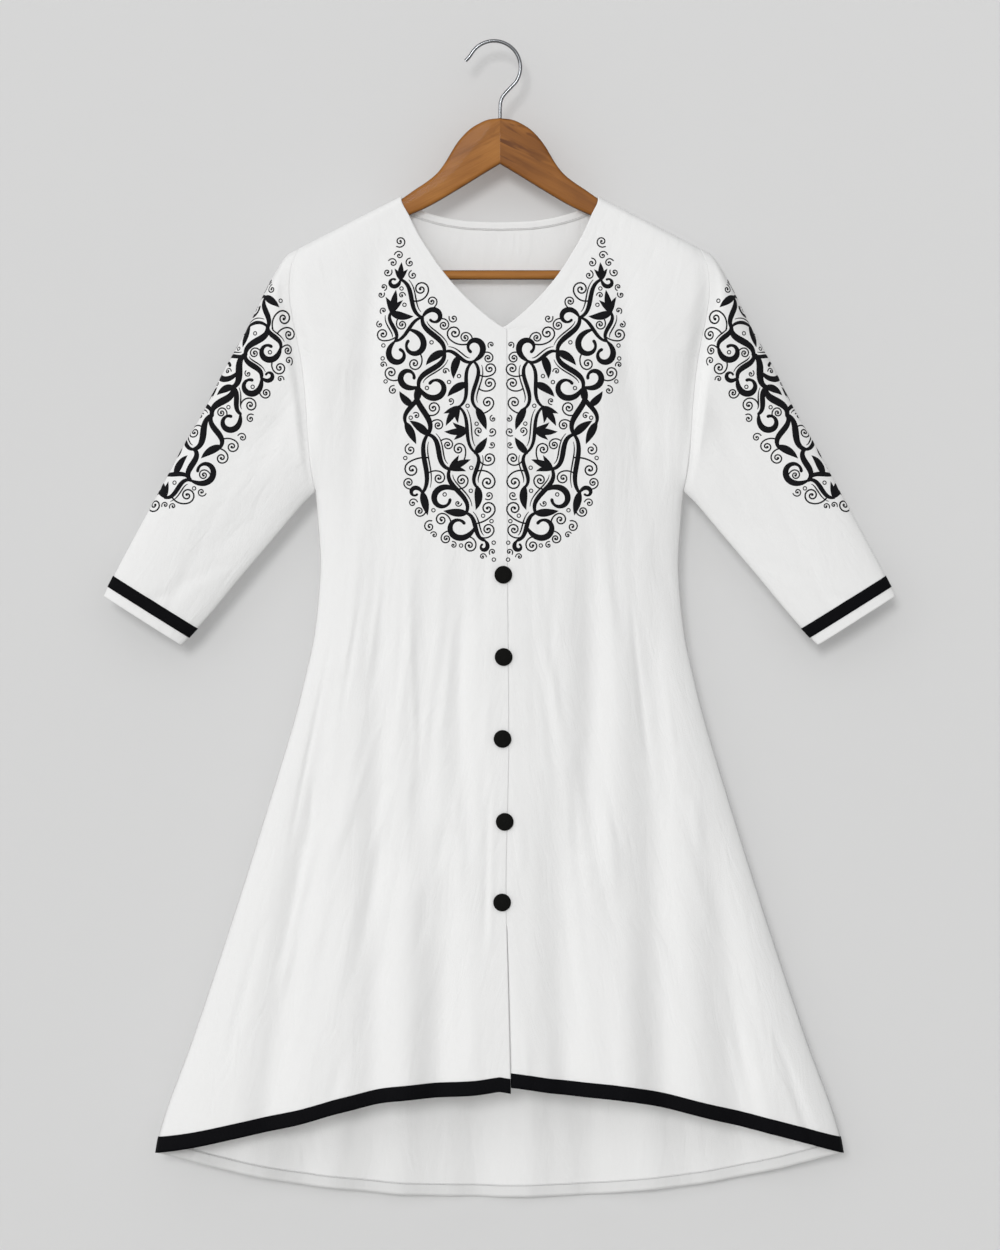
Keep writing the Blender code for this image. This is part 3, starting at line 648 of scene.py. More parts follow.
# %% [markdown]
# ## White crepe
#
# The cloth is a matt white crepe. Close up, crepe has a fine pebbled surface from its
# twisted threads, which run down it and across it. Between the folds it is faintly rumpled.
# All of it is smaller than a fold, so it is bump in the material. A faint difference in
# whiteness keeps it from looking like plaster.


# %% The cloth's finish
STITCHES_PER_METRE = 310
ROW_FADE = 2500  # for each metre, so that a row is gone 0.4 mm from its middle


def crepe_finish(name, whiteness=0.82, stitched_at=None):
    """White crepe. stitched_at puts a row of stitches so many millimetres below its edge."""
    cloth = Finish(name)
    where = cloth.laid()
    pebble = cloth.noise(where, 1500.0, 2.0)
    warp = cloth.noise(cloth.drawn(where, 1.0, 0.12, 1.0), 900.0, 1.0)
    weft = cloth.noise(cloth.drawn(where, 0.12, 1.0, 1.0), 900.0, 1.0)
    pressed = cloth.noise(where, 34.0, 3.0)
    rumples = cloth.noise(cloth.drawn(where, 1.0, 0.28, 1.0), 52.0, 3.0, distortion=0.8)
    soft = cloth.noise(where, 6.0, 2.0)
    dull = tuple(whiteness * part for part in (0.975, 0.975, 0.972))
    clean = tuple(whiteness * part for part in (1.0, 1.0, 0.995))
    tone = cloth.mix(soft * 0.7 + warp * 0.15 + weft * 0.15, dull, clean)
    cloth.base(Base_Color=tone, Roughness=0.88, Sheen_Weight=0.15, Sheen_Roughness=0.5)
    cloth.base(Specular_IOR_Level=0.25)
    height = pebble * 0.25 + warp * 0.2 + weft * 0.2 + pressed * 0.9 + rumples * 2.6
    if stitched_at:
        run, down = (cloth.node("SeparateXYZ", None, {"Vector": where}, axis) for axis in (0, 1))
        row = 1 - (down - stitched_at * MM).size() * ROW_FADE
        dashes = run.maths("FRACT", run * STITCHES_PER_METRE)
        stitches = row.maths("MAXIMUM", row, 0) * dashes.maths("LESS_THAN", dashes, 0.7)
        height = height + stitches * 1.2
    return cloth.bump(height, 0.0005)


front_crepe = crepe_finish("front_crepe")
back_crepe = crepe_finish("back_crepe")
sleeve_crepe = crepe_finish("sleeve_crepe")
facing_crepe = crepe_finish("facing_crepe", stitched_at=7.4)
# The turned hem is the same white crepe, painted darker as painted shade in its fold.
hem_crepe_painted_shade = crepe_finish("hem_crepe_painted_shade", 0.73, stitched_at=1.6)
print("crepe is ready")

# %% [markdown]
# ## The two fronts
#
# Each front starts behind the shoulder ridge, wraps over it, and hangs to the curved hem.
# The left front laps over the right one below the V, where the buttons are. The columns are
# close together at the lap, so that its thin edge and the dip under it are crisp.

# %% Laying the fronts
UPPER_STOPS = (0, 0.001, 0.003, 0.006, 0.011, 0.016, 0.024, 0.032, 0.05, 0.447, 0.458, 1)
UPPER_RUN, FRONT_RUN, BACK_RUN = 325, 700, 760  # to the underarm, then on to each hem
UPPER_FINE = split(UPPER_STOPS, UPPER_RUN, 4.6)
LOWER_FINE = split((0, RIBBON_SHARE, 1), FRONT_RUN, 4.8)[1:]
RIDGE_BEHIND = -np.array([0.016, 0.011, 0.006, 0.003, 0.001])
front_rows = np.array(
    [(share, 0) for share in (*RIDGE_BEHIND, *UPPER_FINE)] + [(1, share) for share in LOWER_FINE]
)
LAP_STEPS = (0, 1.5, 4, 8, 12, 15, 17, 18.4, 19.2, 21, 23.5, 26, 29, 33)
LAST_LAP = len(LAP_STEPS) - 1
OUT_STEPS = 72


def out_share(step):
    """Even at first and closer together towards the side seam, where the cloth turns round."""
    share = step / OUT_STEPS
    return 0.45 * share + 0.55 * np.sin(share * math.pi / 2)


def front_column(column):
    """A column's millimetres in from the inner edge, and its share of the rest of the way."""
    steps_in = np.interp(column, np.arange(LAST_LAP + 1), LAP_STEPS)
    return steps_in, out_share(np.clip(column - LAST_LAP, 0, OUT_STEPS))


def front_place(side, rows):
    def place(column, row):
        upper, lower = rows[np.rint(row).astype(int)].T
        return front_at(side, *front_column(np.rint(column)), upper, lower)

    return place


FRONT_COLUMNS = LAST_LAP + OUT_STEPS
EVEN_OUT = (70, 360, 660)  # rounds, and the drops that they are between
fronts = {}
for side, name in SIDES:
    place = front_place(side, front_rows)
    shape = laid_grid(FRONT_COLUMNS, len(front_rows) - 1, place, even_out=EVEN_OUT)
    fronts[name] = add_piece(
        f"front_cloth_{name}", shape, front_crepe, [f"front_{name}"]
    )
    print("front", name, "has", round(cloth_area(fronts[name]), 3), "m2 of cloth")

# %% [markdown]
# ## The back
#
# The back is one sheet. Its neck is only slightly hollowed, its hem hangs lower than the
# front's, and the inside of that hem shows below the fronts.

# %% Laying the back
BACK_COLUMNS = 168
back_rows = np.array(
    [(share, 0) for share in split((BACK_TOP, 0.032, 0.05, 1), UPPER_RUN, 4.8)]
    + [(1, share) for share in split((0, 1), BACK_RUN, 5.2)[1:]]
)


def back_place(column, row):
    upper, lower = back_rows[np.rint(row).astype(int)].T
    return back_at(column / BACK_COLUMNS * 2 - 1, upper, lower)


back = add_piece(
    "back_cloth",
    laid_grid(BACK_COLUMNS, len(back_rows) - 1, back_place, even_out=EVEN_OUT),
    back_crepe,
    ["back"],
)
print("the back has", round(cloth_area(back), 3), "m2 of cloth")

# %% [markdown]
# ## The sleeves
#
# A set-in sleeve is a tapering tube that lies almost flat here, with a round fold along its
# outer edge. Its columns run closer together at both folds.

# %% Laying the sleeves
SLEEVE_HALF_COLUMNS = 48
RINGS = len(SLEEVE_RINGS)
ring_rows = split(tuple(range(RINGS)), 430 / (RINGS - 1), 4.6)
sleeves = {}


def tube_column(column):
    """How far round a sleeve a column lies, from 0 to 1 in front and on to 2 behind."""
    turn = np.mod(column, 2 * SLEEVE_HALF_COLUMNS) / SLEEVE_HALF_COLUMNS
    share = (1 - np.cos(np.mod(turn, 1) * math.pi)) / 2
    return np.where(turn < 1, share, 1 + share)


def sleeve_place(side, rows):
    def place(column, row):
        return sleeve_at(side, tube_column(column), rows[np.rint(row).astype(int)])

    return place


for side, name in SIDES:
    place = sleeve_place(side, ring_rows)
    shape = laid_grid(2 * SLEEVE_HALF_COLUMNS, len(ring_rows) - 1, place, tube=True)
    sleeves[name] = add_piece(
        f"sleeve_cloth_{name}", shape, sleeve_crepe, [f"sleeve_{name}"]
    )
    print("sleeve", name, "has", round(cloth_area(sleeves[name]), 3), "m2 of cloth")

# %% [markdown]
# ## Ribbon, facing and hems
#
# Black grosgrain ribbon lies on the cloth at the cuffs and the front hem, and a narrow facing
# is turned inside the back neck. Each is made from the same sections as the cloth under it,
# moved out along the cloth's own surface, so it can't float or sink. Grosgrain has fine ribs
# across its width, which a wave along the ribbon's UV map gives.


# %% Grosgrain
def grosgrain_finish(name):
    ribbon = Finish(name)
    where = ribbon.laid()
    ribs = ribbon.ribs(where, "X", 210.0, 0.4, 1.0, 2.0)
    wear = ribbon.noise(where, 120.0, 3.0)
    tone = ribbon.mix(ribs * 0.5 + wear * 0.5, (0.001, 0.001, 0.002), (0.005, 0.005, 0.006))
    ribbon.base(Base_Color=tone, Roughness=0.62 + wear * 0.15, Specular_IOR_Level=0.06)
    return ribbon.bump(ribs * 0.7 + wear * 0.3, 0.0003)


print("grosgrain is ready")

# %% Laying the ribbons
NUDGE = 0.02  # of a column or row, to either side of a point, to find which way it faces


def over(place, lift, side_way):
    """The same surface, moved out by lift millimetres along its own normals."""

    def lifted(column, row):
        here = place(column, row)
        across = place(column + NUDGE, row) - place(column - NUDGE, row)
        down = place(column, row + NUDGE) - place(column, row - NUDGE)
        normal = np.cross(across, down) * side_way
        size = np.linalg.norm(normal, axis=-1, keepdims=True)
        return here + normal / np.maximum(size, 1e-9) * lift

    return lifted


def strip_place(side, first, last, steps):
    """A front's surface between two shares below the underarm, by column and step."""

    def place(column, row):
        lower = first + (last - first) * row / steps
        return front_at(side, *front_column(column), np.ones_like(lower), lower)

    return place


hem_ribbon = grosgrain_finish("hem_grosgrain")
cuff_ribbon = grosgrain_finish("cuff_grosgrain")
TAPE_STEPS = 5
CUFF_FIRST, CUFF_LAST = 10.0, 11.0  # the sleeve rings that the cuff's ribbon lies between
hem_tapes, cuff_tapes = {}, {}
for side, name in SIDES:
    on_cloth = strip_place(side, RIBBON_SHARE, 1.0, TAPE_STEPS)

    def tape_place(column, row, on_cloth=on_cloth, side=side):
        return over(on_cloth, GAP, -side)(column, row)

    shape = laid_grid(FRONT_COLUMNS, TAPE_STEPS, tape_place)
    hem_tapes[name] = add_piece(
        f"hem_tape_{name}", shape, hem_ribbon, [f"hem_ribbon_{name}"]
    )
    thicken(hem_tapes[name], RIBBON, outward=True)

    def cuff_place(column, row, side=side):
        ring = CUFF_FIRST + (CUFF_LAST - CUFF_FIRST) * row / TAPE_STEPS
        return sleeve_at(side, tube_column(column), ring)

    shape = laid_grid(2 * SLEEVE_HALF_COLUMNS, TAPE_STEPS, cuff_place, tube=True)
    for vertex in shape.verts:
        vertex.co += vertex.normal * GAP * MM
    cuff_tapes[name] = add_piece(
        f"cuff_tape_{name}", shape, cuff_ribbon, [f"cuff_ribbon_{name}"]
    )
    thicken(cuff_tapes[name], RIBBON, outward=True)
    print("ribbon", name, "is laid")

# %% The facing inside the back neck
FACING_COLUMNS, FACING_STEPS, FACING_DROP = 60, 4, 9.2
FACING_HALF = 0.325  # how far out it reaches, as a share of the way across the back
FACING_GAP, FACING_CLOTH = 0.04, 0.2


def facing_place(column, row):
    across = (column / FACING_COLUMNS * 2 - 1) * FACING_HALF
    fall = FACING_DROP * row / FACING_STEPS / (UNDERARM_DROP - BACK_NECK[0][1])
    surface = back_at(across, BACK_TOP + fall, np.zeros_like(across))
    return surface - [0, CLOTH + FACING_GAP, 0]


shape = laid_grid(FACING_COLUMNS, FACING_STEPS, facing_place)
facing = add_piece("neck_facing_cloth", shape, facing_crepe, ["neck_facing"])
thicken(facing, FACING_CLOTH)
print("the facing is", FACING_DROP, "mm deep")

# %% The turned hem of the back, which shows below the shorter front
HEM_TURN, HEM_COLUMNS, HEM_STEPS = 14.0, 240, 4
HEM_HALF = 0.985  # how far out it reaches, as a share of the half width
HEM_GAP, HEM_RIPPLE, HEM_CLOTH = 0.15, 0.35, 0.3


def hem_place(column, row):
    across = (column / HEM_COLUMNS * 2 - 1) * HEM_HALF
    whole = np.ones_like(across)
    _, half, _ = outer_edge(whole, whole)
    deep = smooth(BACK_HEM, np.abs(across) * half) - UNDERARM_DROP
    turned_up = 1 - row / HEM_STEPS
    surface = back_at(across, whole, 1 - HEM_TURN * turned_up / deep)
    ripple = HEM_RIPPLE * np.sin(across * 41) * np.sin(across * 17 + 1)
    surface[..., 1] -= CLOTH + HEM_GAP + ripple * turned_up + HEM_RIPPLE
    return surface


shape = laid_grid(HEM_COLUMNS, HEM_STEPS, hem_place)
hem_turn = add_piece("back_hem_turn", shape, hem_crepe_painted_shade, [])
thicken(hem_turn, HEM_CLOTH)
for piece in (*fronts.values(), back, *sleeves.values()):
    thicken(piece, CLOTH)
print("the hem is turned", HEM_TURN, "mm deep")

# %% [markdown]
# ## Covered buttons
#
# A covered button is a domed metal shell with a circle of cloth stretched over it. Turning a
# profile round the button's axis gives the dome, and the cloth's weave is a fine bump.

# %% Making the buttons
BUTTONS = 5
BUTTON_PROFILE = (
    (0, 0), (8.4, 0), (9.2, 0.35), (9.6, 1), (9.72, 1.7), (9.55, 2.5), (9.0, 3.2), (7.8, 3.75),
    (6, 4.15), (3.6, 4.45), (0, 4.6),
)
BUTTON_TURNS = 48


def cloth_button_finish():
    button = Finish("button_cloth")
    where = button.solid()
    weave = button.noise(where, 1700.0, 1.0)
    dust = button.noise(where, 300.0, 2.0)
    tone = button.mix(weave * 0.6 + dust * 0.4, (0.002, 0.002, 0.002), (0.009, 0.009, 0.008))
    button.base(Base_Color=tone, Roughness=0.8, Specular_IOR_Level=0.07)
    return button.bump(weave, 0.0003)


button_finish = cloth_button_finish()
for number in range(1, BUTTONS + 1):
    low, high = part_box(f"button_{number}")
    middle = Vector(((low[0] + high[0]) / 2, high[1], (low[2] + high[2]) / 2))
    shape = bmesh.new()
    profile = [shape.verts.new(middle + Vector((out, -up, 0)) * MM) for out, up in BUTTON_PROFILE]
    for pair in zip(profile, profile[1:]):
        shape.edges.new(pair)
    bmesh.ops.spin(
        shape,
        geom=shape.edges[:],
        cent=middle,
        axis=(0, 1, 0),
        angle=math.tau,
        steps=BUTTON_TURNS,
        use_merge=True,
    )
    bmesh.ops.remove_doubles(shape, verts=shape.verts[:], dist=1e-6)
    bmesh.ops.recalc_face_normals(shape, faces=shape.faces[:])
    replaced = [f"button_{number}"]
    name = f"covered_button_{number}"
    add_piece(name, shape, button_finish, replaced)
print(BUTTONS, "buttons, each", 2 * max(out for out, _ in BUTTON_PROFILE), "mm across")

# %% [markdown]
# ## The hanger
#
# Each arm of the hanger is sawn from a board and rounded over with a cutter. An outline
# pulled into a thickness and bevelled round its long edges is that same piece of work. The
# wood is orange-brown with brown streaks that run along each arm, and dark flames cross it
# by the middle joint.

# %% Outlines of the wood, half and drop
HANGER_X = 0.6
HANGER_MIDDLE = HANGER_X + GARMENT_X
HANGER_THICKNESS = 12.0
HANGER_ROUNDING = 3.6
GLUE = 0.02  # half of the glued joint in the middle
WOOD_TOP = (
    (0, 83.2), (12, 84.5), (24, 89.5), (34, 96), (42, 104), (49, 113), (55, 123), (61, 133),
    (69, 143.4), (79, 152), (93, 161.4), (107, 171.2), (112, 174.6), (130, 183.8), (190, 214),
    (208, 225.8),
)
WOOD_BOTTOM = (
    (0, 133.3), (22, 146.6), (47, 162), (80, 181), (101, 190.6), (140, 211), (165, 229), (179, 246),
    (185.5, 260),
)
ARM_TIP = (199.0, 244.0, 21.0)  # half, drop and radius
TIP_DEGREES = range(50, -121, -9)  # where the rounded tip of an arm turns
BAR_DROP, BAR_RADIUS, BAR_HALF = 255.5, 5.25, 200.0

print("the bar is", 2 * BAR_RADIUS, "mm thick")


# %% Wood
def rounded_path(points, spacing):
    """More points along a line through some, so that its bends read as curves."""
    shares = np.linspace(0, 1, int(arc_lengths(points)[-1] / spacing) + 1)
    return np.column_stack(along(points, shares))


WOOD_BROWNS = (
    (0.25, (0.13, 0.042, 0.008)),
    (0.42, (0.24, 0.088, 0.017)),
    (0.55, (0.33, 0.128, 0.025)),
    (0.75, (0.44, 0.185, 0.04)),
)


def wood_finish(name, lean, figure=0.0, lift=0.0, half_thick=6.0):
    """Grain along an arm that leans by an angle from the level, in radians.

    figure is how strongly dark flames show by the middle joint, and lift makes the wood paler.
    """
    wood = Finish(name)
    where = wood.solid()
    turned = wood.node("Mapping", None, {"Vector": where, "Rotation": (0, lean, 0)})
    streaks = wood.noise(wood.drawn(turned, 7.0, 55.0, 75.0), 1.0, 4.0, distortion=0.9)
    pores = wood.noise(wood.drawn(turned, 28.0, 700.0, 900.0), 1.0, 2.0)
    broad = wood.noise(turned, 14.0, 2.0)
    flames = wood.noise(wood.drawn(turned, 16.0, 30.0, 105.0), 1.0, 3.0, distortion=1.6)
    browns = {"Fac": streaks * 0.6 + broad * 0.4 + lift}
    grain = wood.node("ValToRGB", {"stops": WOOD_BROWNS}, browns)
    tone = wood.mix(pores * 0.45, grain, (0.16, 0.056, 0.012))
    aside, deep = (wood.node("SeparateXYZ", None, {"Vector": where}, axis) for axis in (0, 1))
    near_joint = wood.fade(aside.size(), 0.004, 0.085, 1.0, 0.12, "SMOOTHSTEP")
    flame = wood.fade(flames, 0.54, 0.64, 0.0, figure)
    tone = wood.mix(flame * near_joint, tone, (0.11, 0.034, 0.007))
    # The rounded long edges, and the top and bottom of the bar, are painted darker: partly painted
    # shade of the rounding, partly stain that gathers where the wood rounds over.
    rim_shade_from, rim_shade_to = half_thick * 0.4 * MM, half_thick * 0.93 * MM
    rim = wood.fade(deep.size(), rim_shade_from, rim_shade_to, 0.8, 0.0, "SMOOTHSTEP")
    tone = wood.mix(rim, tone, (0.06, 0.018, 0.004))
    wood.base(Base_Color=tone, Roughness=0.42 + pores * 0.16, Coat_Weight=0.03)
    wood.base(Specular_IOR_Level=0.18)
    return wood.bump(pores * 0.6 + streaks * 0.4, 0.0004)


print("the wood has", len(WOOD_BROWNS), "browns")

# %% Making the arms and the bar
ARM_LEAN = math.radians(27)
tip_half, tip_drop, tip_radius = ARM_TIP
tip = [
    (tip_half + tip_radius * math.cos(turn), tip_drop - tip_radius * math.sin(turn))
    for turn in map(math.radians, TIP_DEGREES)
]
for side, name in SIDES:
    top = rounded_path(((GLUE, WOOD_TOP[0][1]), *WOOD_TOP[1:]), 4)
    under = rounded_path((*WOOD_BOTTOM[:0:-1], (GLUE, WOOD_BOTTOM[0][1])), 6)
    shape = bmesh.new()
    ring = [
        shape.verts.new(Vector((HANGER_MIDDLE + side * half, -HANGER_THICKNESS / 2, -drop)) * MM)
        for half, drop in (*top, *tip, *under)
    ]
    face = shape.faces.new(ring)
    made = bmesh.ops.extrude_face_region(shape, geom=[face], use_keep_orig=True)
    moved = [item for item in made["geom"] if isinstance(item, bmesh.types.BMVert)]
    bmesh.ops.translate(shape, verts=moved, vec=(0, HANGER_THICKNESS * MM, 0))
    bmesh.ops.recalc_face_normals(shape, faces=shape.faces[:])
    joint = (HANGER_MIDDLE + side * GLUE) * MM
    long_edges = [
        edge
        for edge in shape.edges
        if abs(edge.verts[0].co.y - edge.verts[1].co.y) < 1e-6
        and any(abs(vertex.co.x - joint) > 1e-6 for vertex in edge.verts)
    ]
    bmesh.ops.bevel(
        shape,
        geom=long_edges,
        offset=HANGER_ROUNDING * MM,
        offset_type="OFFSET",
        segments=5,
        profile=0.5,
        affect="EDGES",
        material=-1,
        clamp_overlap=True,
    )
    figure, lift = (0.95, -0.01) if side > 0 else (0.25, 0.07)
    finish = wood_finish(f"arm_wood_{name}", -side * ARM_LEAN, figure, lift)
    add_piece(f"hanger_arm_wood_{name}", shape, finish, [f"hanger_arm_{name}"])

shape = bmesh.new()
across_x = Vector((0, 0, 1)).rotation_difference(Vector((1, 0, 0))).to_matrix().to_4x4()
across_x.translation = Vector((HANGER_MIDDLE, 0, -BAR_DROP)) * MM
bmesh.ops.create_cone(
    shape,
    cap_ends=True,
    segments=40,
    radius1=BAR_RADIUS * MM,
    radius2=BAR_RADIUS * MM,
    depth=2 * BAR_HALF * MM,
    matrix=across_x,
)
finish = wood_finish("bar_grain", 0.0, lift=0.2, half_thick=4.6)
add_piece("hanger_bar_wood", shape, finish, ["hanger_bar"])
print("the hanger spans", 2 * (tip_half + tip_radius), "mm")

# %% [markdown]
# ## The hook
#
# The hook is one chromed wire, 4 mm thick: a small flared tip, a round crown and a neck that
# runs down into the wood. A curve with a round bevel is a bent wire by nature.

# %% Bending the wire
WIRE_RADIUS, HOOK_RADIUS = 2.0, 29.0
HOOK_FROM, HOOK_TO = 152.0, -36.0
WIRE_TIP = ((-37.4, 20), (-34.4, 17))
WIRE_NECK = ((12.4, 49.2), (7.2, 54.6), (3, 60), (1, 66), (0.6, 73), (0.6, 83), (0.6, 99))
centre_x, centre_drop = -GARMENT_X, HOOK_RADIUS - WIRE_RADIUS
bend = [
    (centre_x + HOOK_RADIUS * math.cos(turn), centre_drop - HOOK_RADIUS * math.sin(turn))
    for turn in np.radians(np.linspace(HOOK_FROM, HOOK_TO, 60))
]
route = np.vstack([WIRE_TIP, bend, WIRE_NECK])
wire = bpy.data.curves.new("hook_wire", "CURVE")
wire.dimensions = "3D"
wire.bevel_depth = WIRE_RADIUS * MM
wire.bevel_resolution = 8
wire.use_fill_caps = True
line = wire.splines.new("POLY")
line.points.add(len(route) - 1)
for point, (x, drop) in zip(line.points, route):
    point.co = ((x + GARMENT_X) * MM, 0, -drop * MM, 1)
line.use_smooth = True
chrome = Finish("hook_chrome")
scuffs = chrome.noise(chrome.solid(), 120.0, 2.0)
chrome.base(Base_Color=(0.2, 0.205, 0.215, 1.0), Metallic=1.0, Roughness=0.12 + scuffs * 0.08)
wire.materials.append(chrome.material)
hook = bpy.data.objects.new("hook_wire", wire)
bpy.context.scene.collection.objects.link(hook)
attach(hook, "root")
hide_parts("hanger_hook")
print("the wire is", 2 * WIRE_RADIUS, "mm thick")

# %% [markdown]
# ## Scroll embroidery
#
# Machine embroidery like this is satin stitch: a thick line of close, parallel threads for the
# stems and curls, and a thin one for the fine spirals. The layout is grown rather than drawn.
# A few stems join some knots. Fans of three leaves, curls and single leaves grow from the
# knots, and fine tendrils and spirals fill what is left. A grid that remembers the distance
# to the nearest thread keeps them apart.


# %% Ground that remembers where its threads run
def inside_outline(points, outline):
    """Which points lie inside a closed outline."""
    inside = np.zeros(len(points), bool)
    for (ax, ay), (bx, by) in zip(outline, np.roll(outline, -1, axis=0)):
        if ay == by:
            continue
        crosses = (ay > points[:, 1]) != (by > points[:, 1])
        meets = ax + (points[:, 1] - ay) / (by - ay) * (bx - ax)
        inside ^= crosses & (points[:, 0] < meets)
    return inside


def edge_distance(points, outline):
    """How far points are from a closed outline."""
    nearest = np.full(len(points), np.inf)
    for start, end in zip(outline, np.roll(outline, -1, axis=0)):
        run = end - start
        share = np.clip((points - start) @ run / (run @ run), 0, 1)
        away = points - start - share[:, None] * run
        nearest = np.minimum(nearest, np.hypot(*away.T))
    return nearest


class Scrollwork:
    """Strokes of thread on a patch of cloth. A stroke is rows of across, down and width."""

    CELL, REACH = 0.5, 16.0

    def __init__(self, outline):
        self.outline = np.array(outline, float)
        self.low = self.outline.min(axis=0) - self.REACH
        span = self.outline.max(axis=0) + self.REACH - self.low
        size = (span / self.CELL).astype(int) + 1
        grid = np.stack(np.meshgrid(*(np.arange(count) for count in size), indexing="ij"), -1)
        centres = self.low + grid.reshape(-1, 2) * self.CELL
        inside = inside_outline(centres, self.outline)
        self.margin = np.where(inside, edge_distance(centres, self.outline), -1).reshape(size)
        self.room = np.full(size, self.REACH)
        self.strokes = []

    def cells(self, points):
        places = np.rint((points[:, :2] - self.low) / self.CELL).astype(int)
        return np.clip(places, 0, np.array(self.room.shape) - 1)

    def fits(self, stroke, gap, skip=0.0, margin=0.0):
        """Whether a stroke is inside, and a gap from the others past its first share."""
        late = stroke[int(len(stroke) * skip) :]
        x, y = self.cells(late).T
        clear = self.room[x, y] > late[:, 2] / 2 + gap
        return bool((self.margin[x, y] >= margin).all() and clear.all())

    def take(self, stroke):
        self.strokes.append(stroke)
        span = int(self.REACH / self.CELL)
        for (x, y), (across, down, width) in zip(self.cells(stroke), stroke):
            low_x, low_y = max(0, x - span), max(0, y - span)
            window = self.room[low_x : x + span + 1, low_y : y + span + 1]
            aside = self.low[0] + (low_x + np.arange(window.shape[0])) * self.CELL - across
            below = self.low[1] + (low_y + np.arange(window.shape[1])) * self.CELL - down
            distance = np.hypot(aside[:, None], below[None, :]) - width / 2
            np.minimum(window, distance, out=window)


print("the ground has cells of", Scrollwork.CELL, "mm")


# %% The strokes of the design
STEM_POINTS = 25
TENDRIL_TURNS = 1.5


def walk(start, headings, step, widths):
    """A stroke that starts at a point and follows headings in radians."""
    steps = step * np.column_stack([np.cos(headings), np.sin(headings)])
    path = np.vstack([start, start + np.cumsum(steps, axis=0)])
    return np.column_stack([path, widths])


def curl(start, heading, length, sweep, width):
    """A stem that tightens into a curl and ends in a round knob."""
    share = np.linspace(0, 1, max(12, int(length / 1.6)) + 1)
    turn = math.radians(heading) + math.radians(sweep) * share[:-1] ** 1.5
    knob = 0.34 * np.clip((share - 0.9) / 0.1, 0, 1)
    body = 0.3 + 0.9 * np.sin(np.pi * share**0.8) + knob
    return walk(start, turn, length / len(turn), width * body)


def leaf(start, heading, length, width, bend):
    """A stroke that swells at once and then narrows to a point."""
    share = np.linspace(0, 1, max(8, int(length / 1.5)) + 1)
    turn = math.radians(heading) + math.radians(bend) * share[:-1]
    body = np.sin(np.pi * (0.12 + 0.88 * share**0.85)) ** 0.85
    return walk(start, turn, length / len(turn), np.maximum(0.35, width * body))


print("a leaf of 20 mm takes", len(leaf((0, 0), 0, 20, 4, 0)), "points")

# %% Fans, spirals and fine lines
FAN_LEAN, FAN_REACH = 22, 0.72  # of the two outer leaves, in degrees and as a share


def palmette(start, heading, length, width, bend):
    """Three leaves that fan out from one root, the middle one longest."""
    return [
        leaf(start, heading + lean, length * reach, width * reach, bend + lean)
        for lean, reach in ((-FAN_LEAN, FAN_REACH), (FAN_LEAN, FAN_REACH), (0, 1.0))
    ]


def spiral(centre, radius, turns, start, hand, width):
    """A fine spiral from its rim to a dot in the middle."""
    share = np.linspace(0, 1, int(14 * turns) + 1)
    distance = radius * (1 - 0.88 * share)
    angle = start + hand * turns * math.tau * share
    dot = width * (1 + 0.9 * np.clip((share - 0.92) / 0.08, 0, 1))
    spot = centre + distance[:, None] * np.column_stack([np.cos(angle), np.sin(angle)])
    return np.column_stack([spot, dot])


def eyelet(centre, radius, width):
    """A small closed ring."""
    angle = np.linspace(0, math.tau, 17)
    path = centre + radius * np.column_stack([np.cos(angle), np.sin(angle)])
    return np.column_stack([path, np.full(len(path), width)])


def stem(start, first, second, end, width):
    """A line between two knots, which two more points bend, and which is widest halfway."""
    share = np.linspace(0, 1, STEM_POINTS)[:, None]
    rest = 1 - share
    path = rest**3 * start + 3 * rest**2 * share * first + 3 * rest * share**2 * second
    return np.column_stack([path + share**3 * end, width * (0.75 + 0.5 * np.sin(np.pi * share))])


def square_to(stroke):
    """The direction square to a stroke at each of its points."""
    run = np.gradient(stroke[:, :2], axis=0)
    return np.column_stack([-run[:, 1], run[:, 0]]) / np.hypot(*run.T)[:, None]


def beside(stroke, away, width):
    """A thin line that keeps a stroke company for most of its way."""
    part = stroke[int(len(stroke) * 0.14) : int(len(stroke) * 0.88)]
    taper = 0.4 + 0.6 * np.sin(np.pi * np.linspace(0, 1, len(part)))
    return np.column_stack([part[:, :2] + square_to(part) * away, width * taper])


def tendril(start, heading, length, sweep, radius, width):
    """A fine stem that ends in a spiral."""
    share = np.linspace(0, 1, max(6, int(length / 1.6)) + 1)
    turn = math.radians(heading) + math.radians(sweep) * share[:-1]
    lead = walk(start, turn, length / len(turn), np.full(len(share), width))
    hand = 1 if sweep > 0 else -1
    toward = np.array([-math.sin(turn[-1]), math.cos(turn[-1])])
    middle = lead[-1, :2] + radius * toward * hand
    rim = math.atan2(*(lead[-1, :2] - middle)[::-1])
    return np.vstack([lead[:-1], spiral(middle, radius, TENDRIL_TURNS, rim, hand, width)])


print("a curl of 40 mm takes", len(curl((0, 0), 0, 40, 300, 4)), "points")

# %% The sizes of what grows, and the stems
# Curls: width, gap and the lengths tried. Leaves and fans: length and width
CURLS = ((6.2, 1.3, (60, 50)), (5.4, 1.1, (42, 35, 30)), (4.5, 1.0, (26, 22)), (3.6, 0.9, (18, 15)))
LEAVES = ((25, 9.6), (21, 8.8), (17, 7.6), (13, 6.0))
PALMETTES = ((25, 8.6), (19, 7.2))
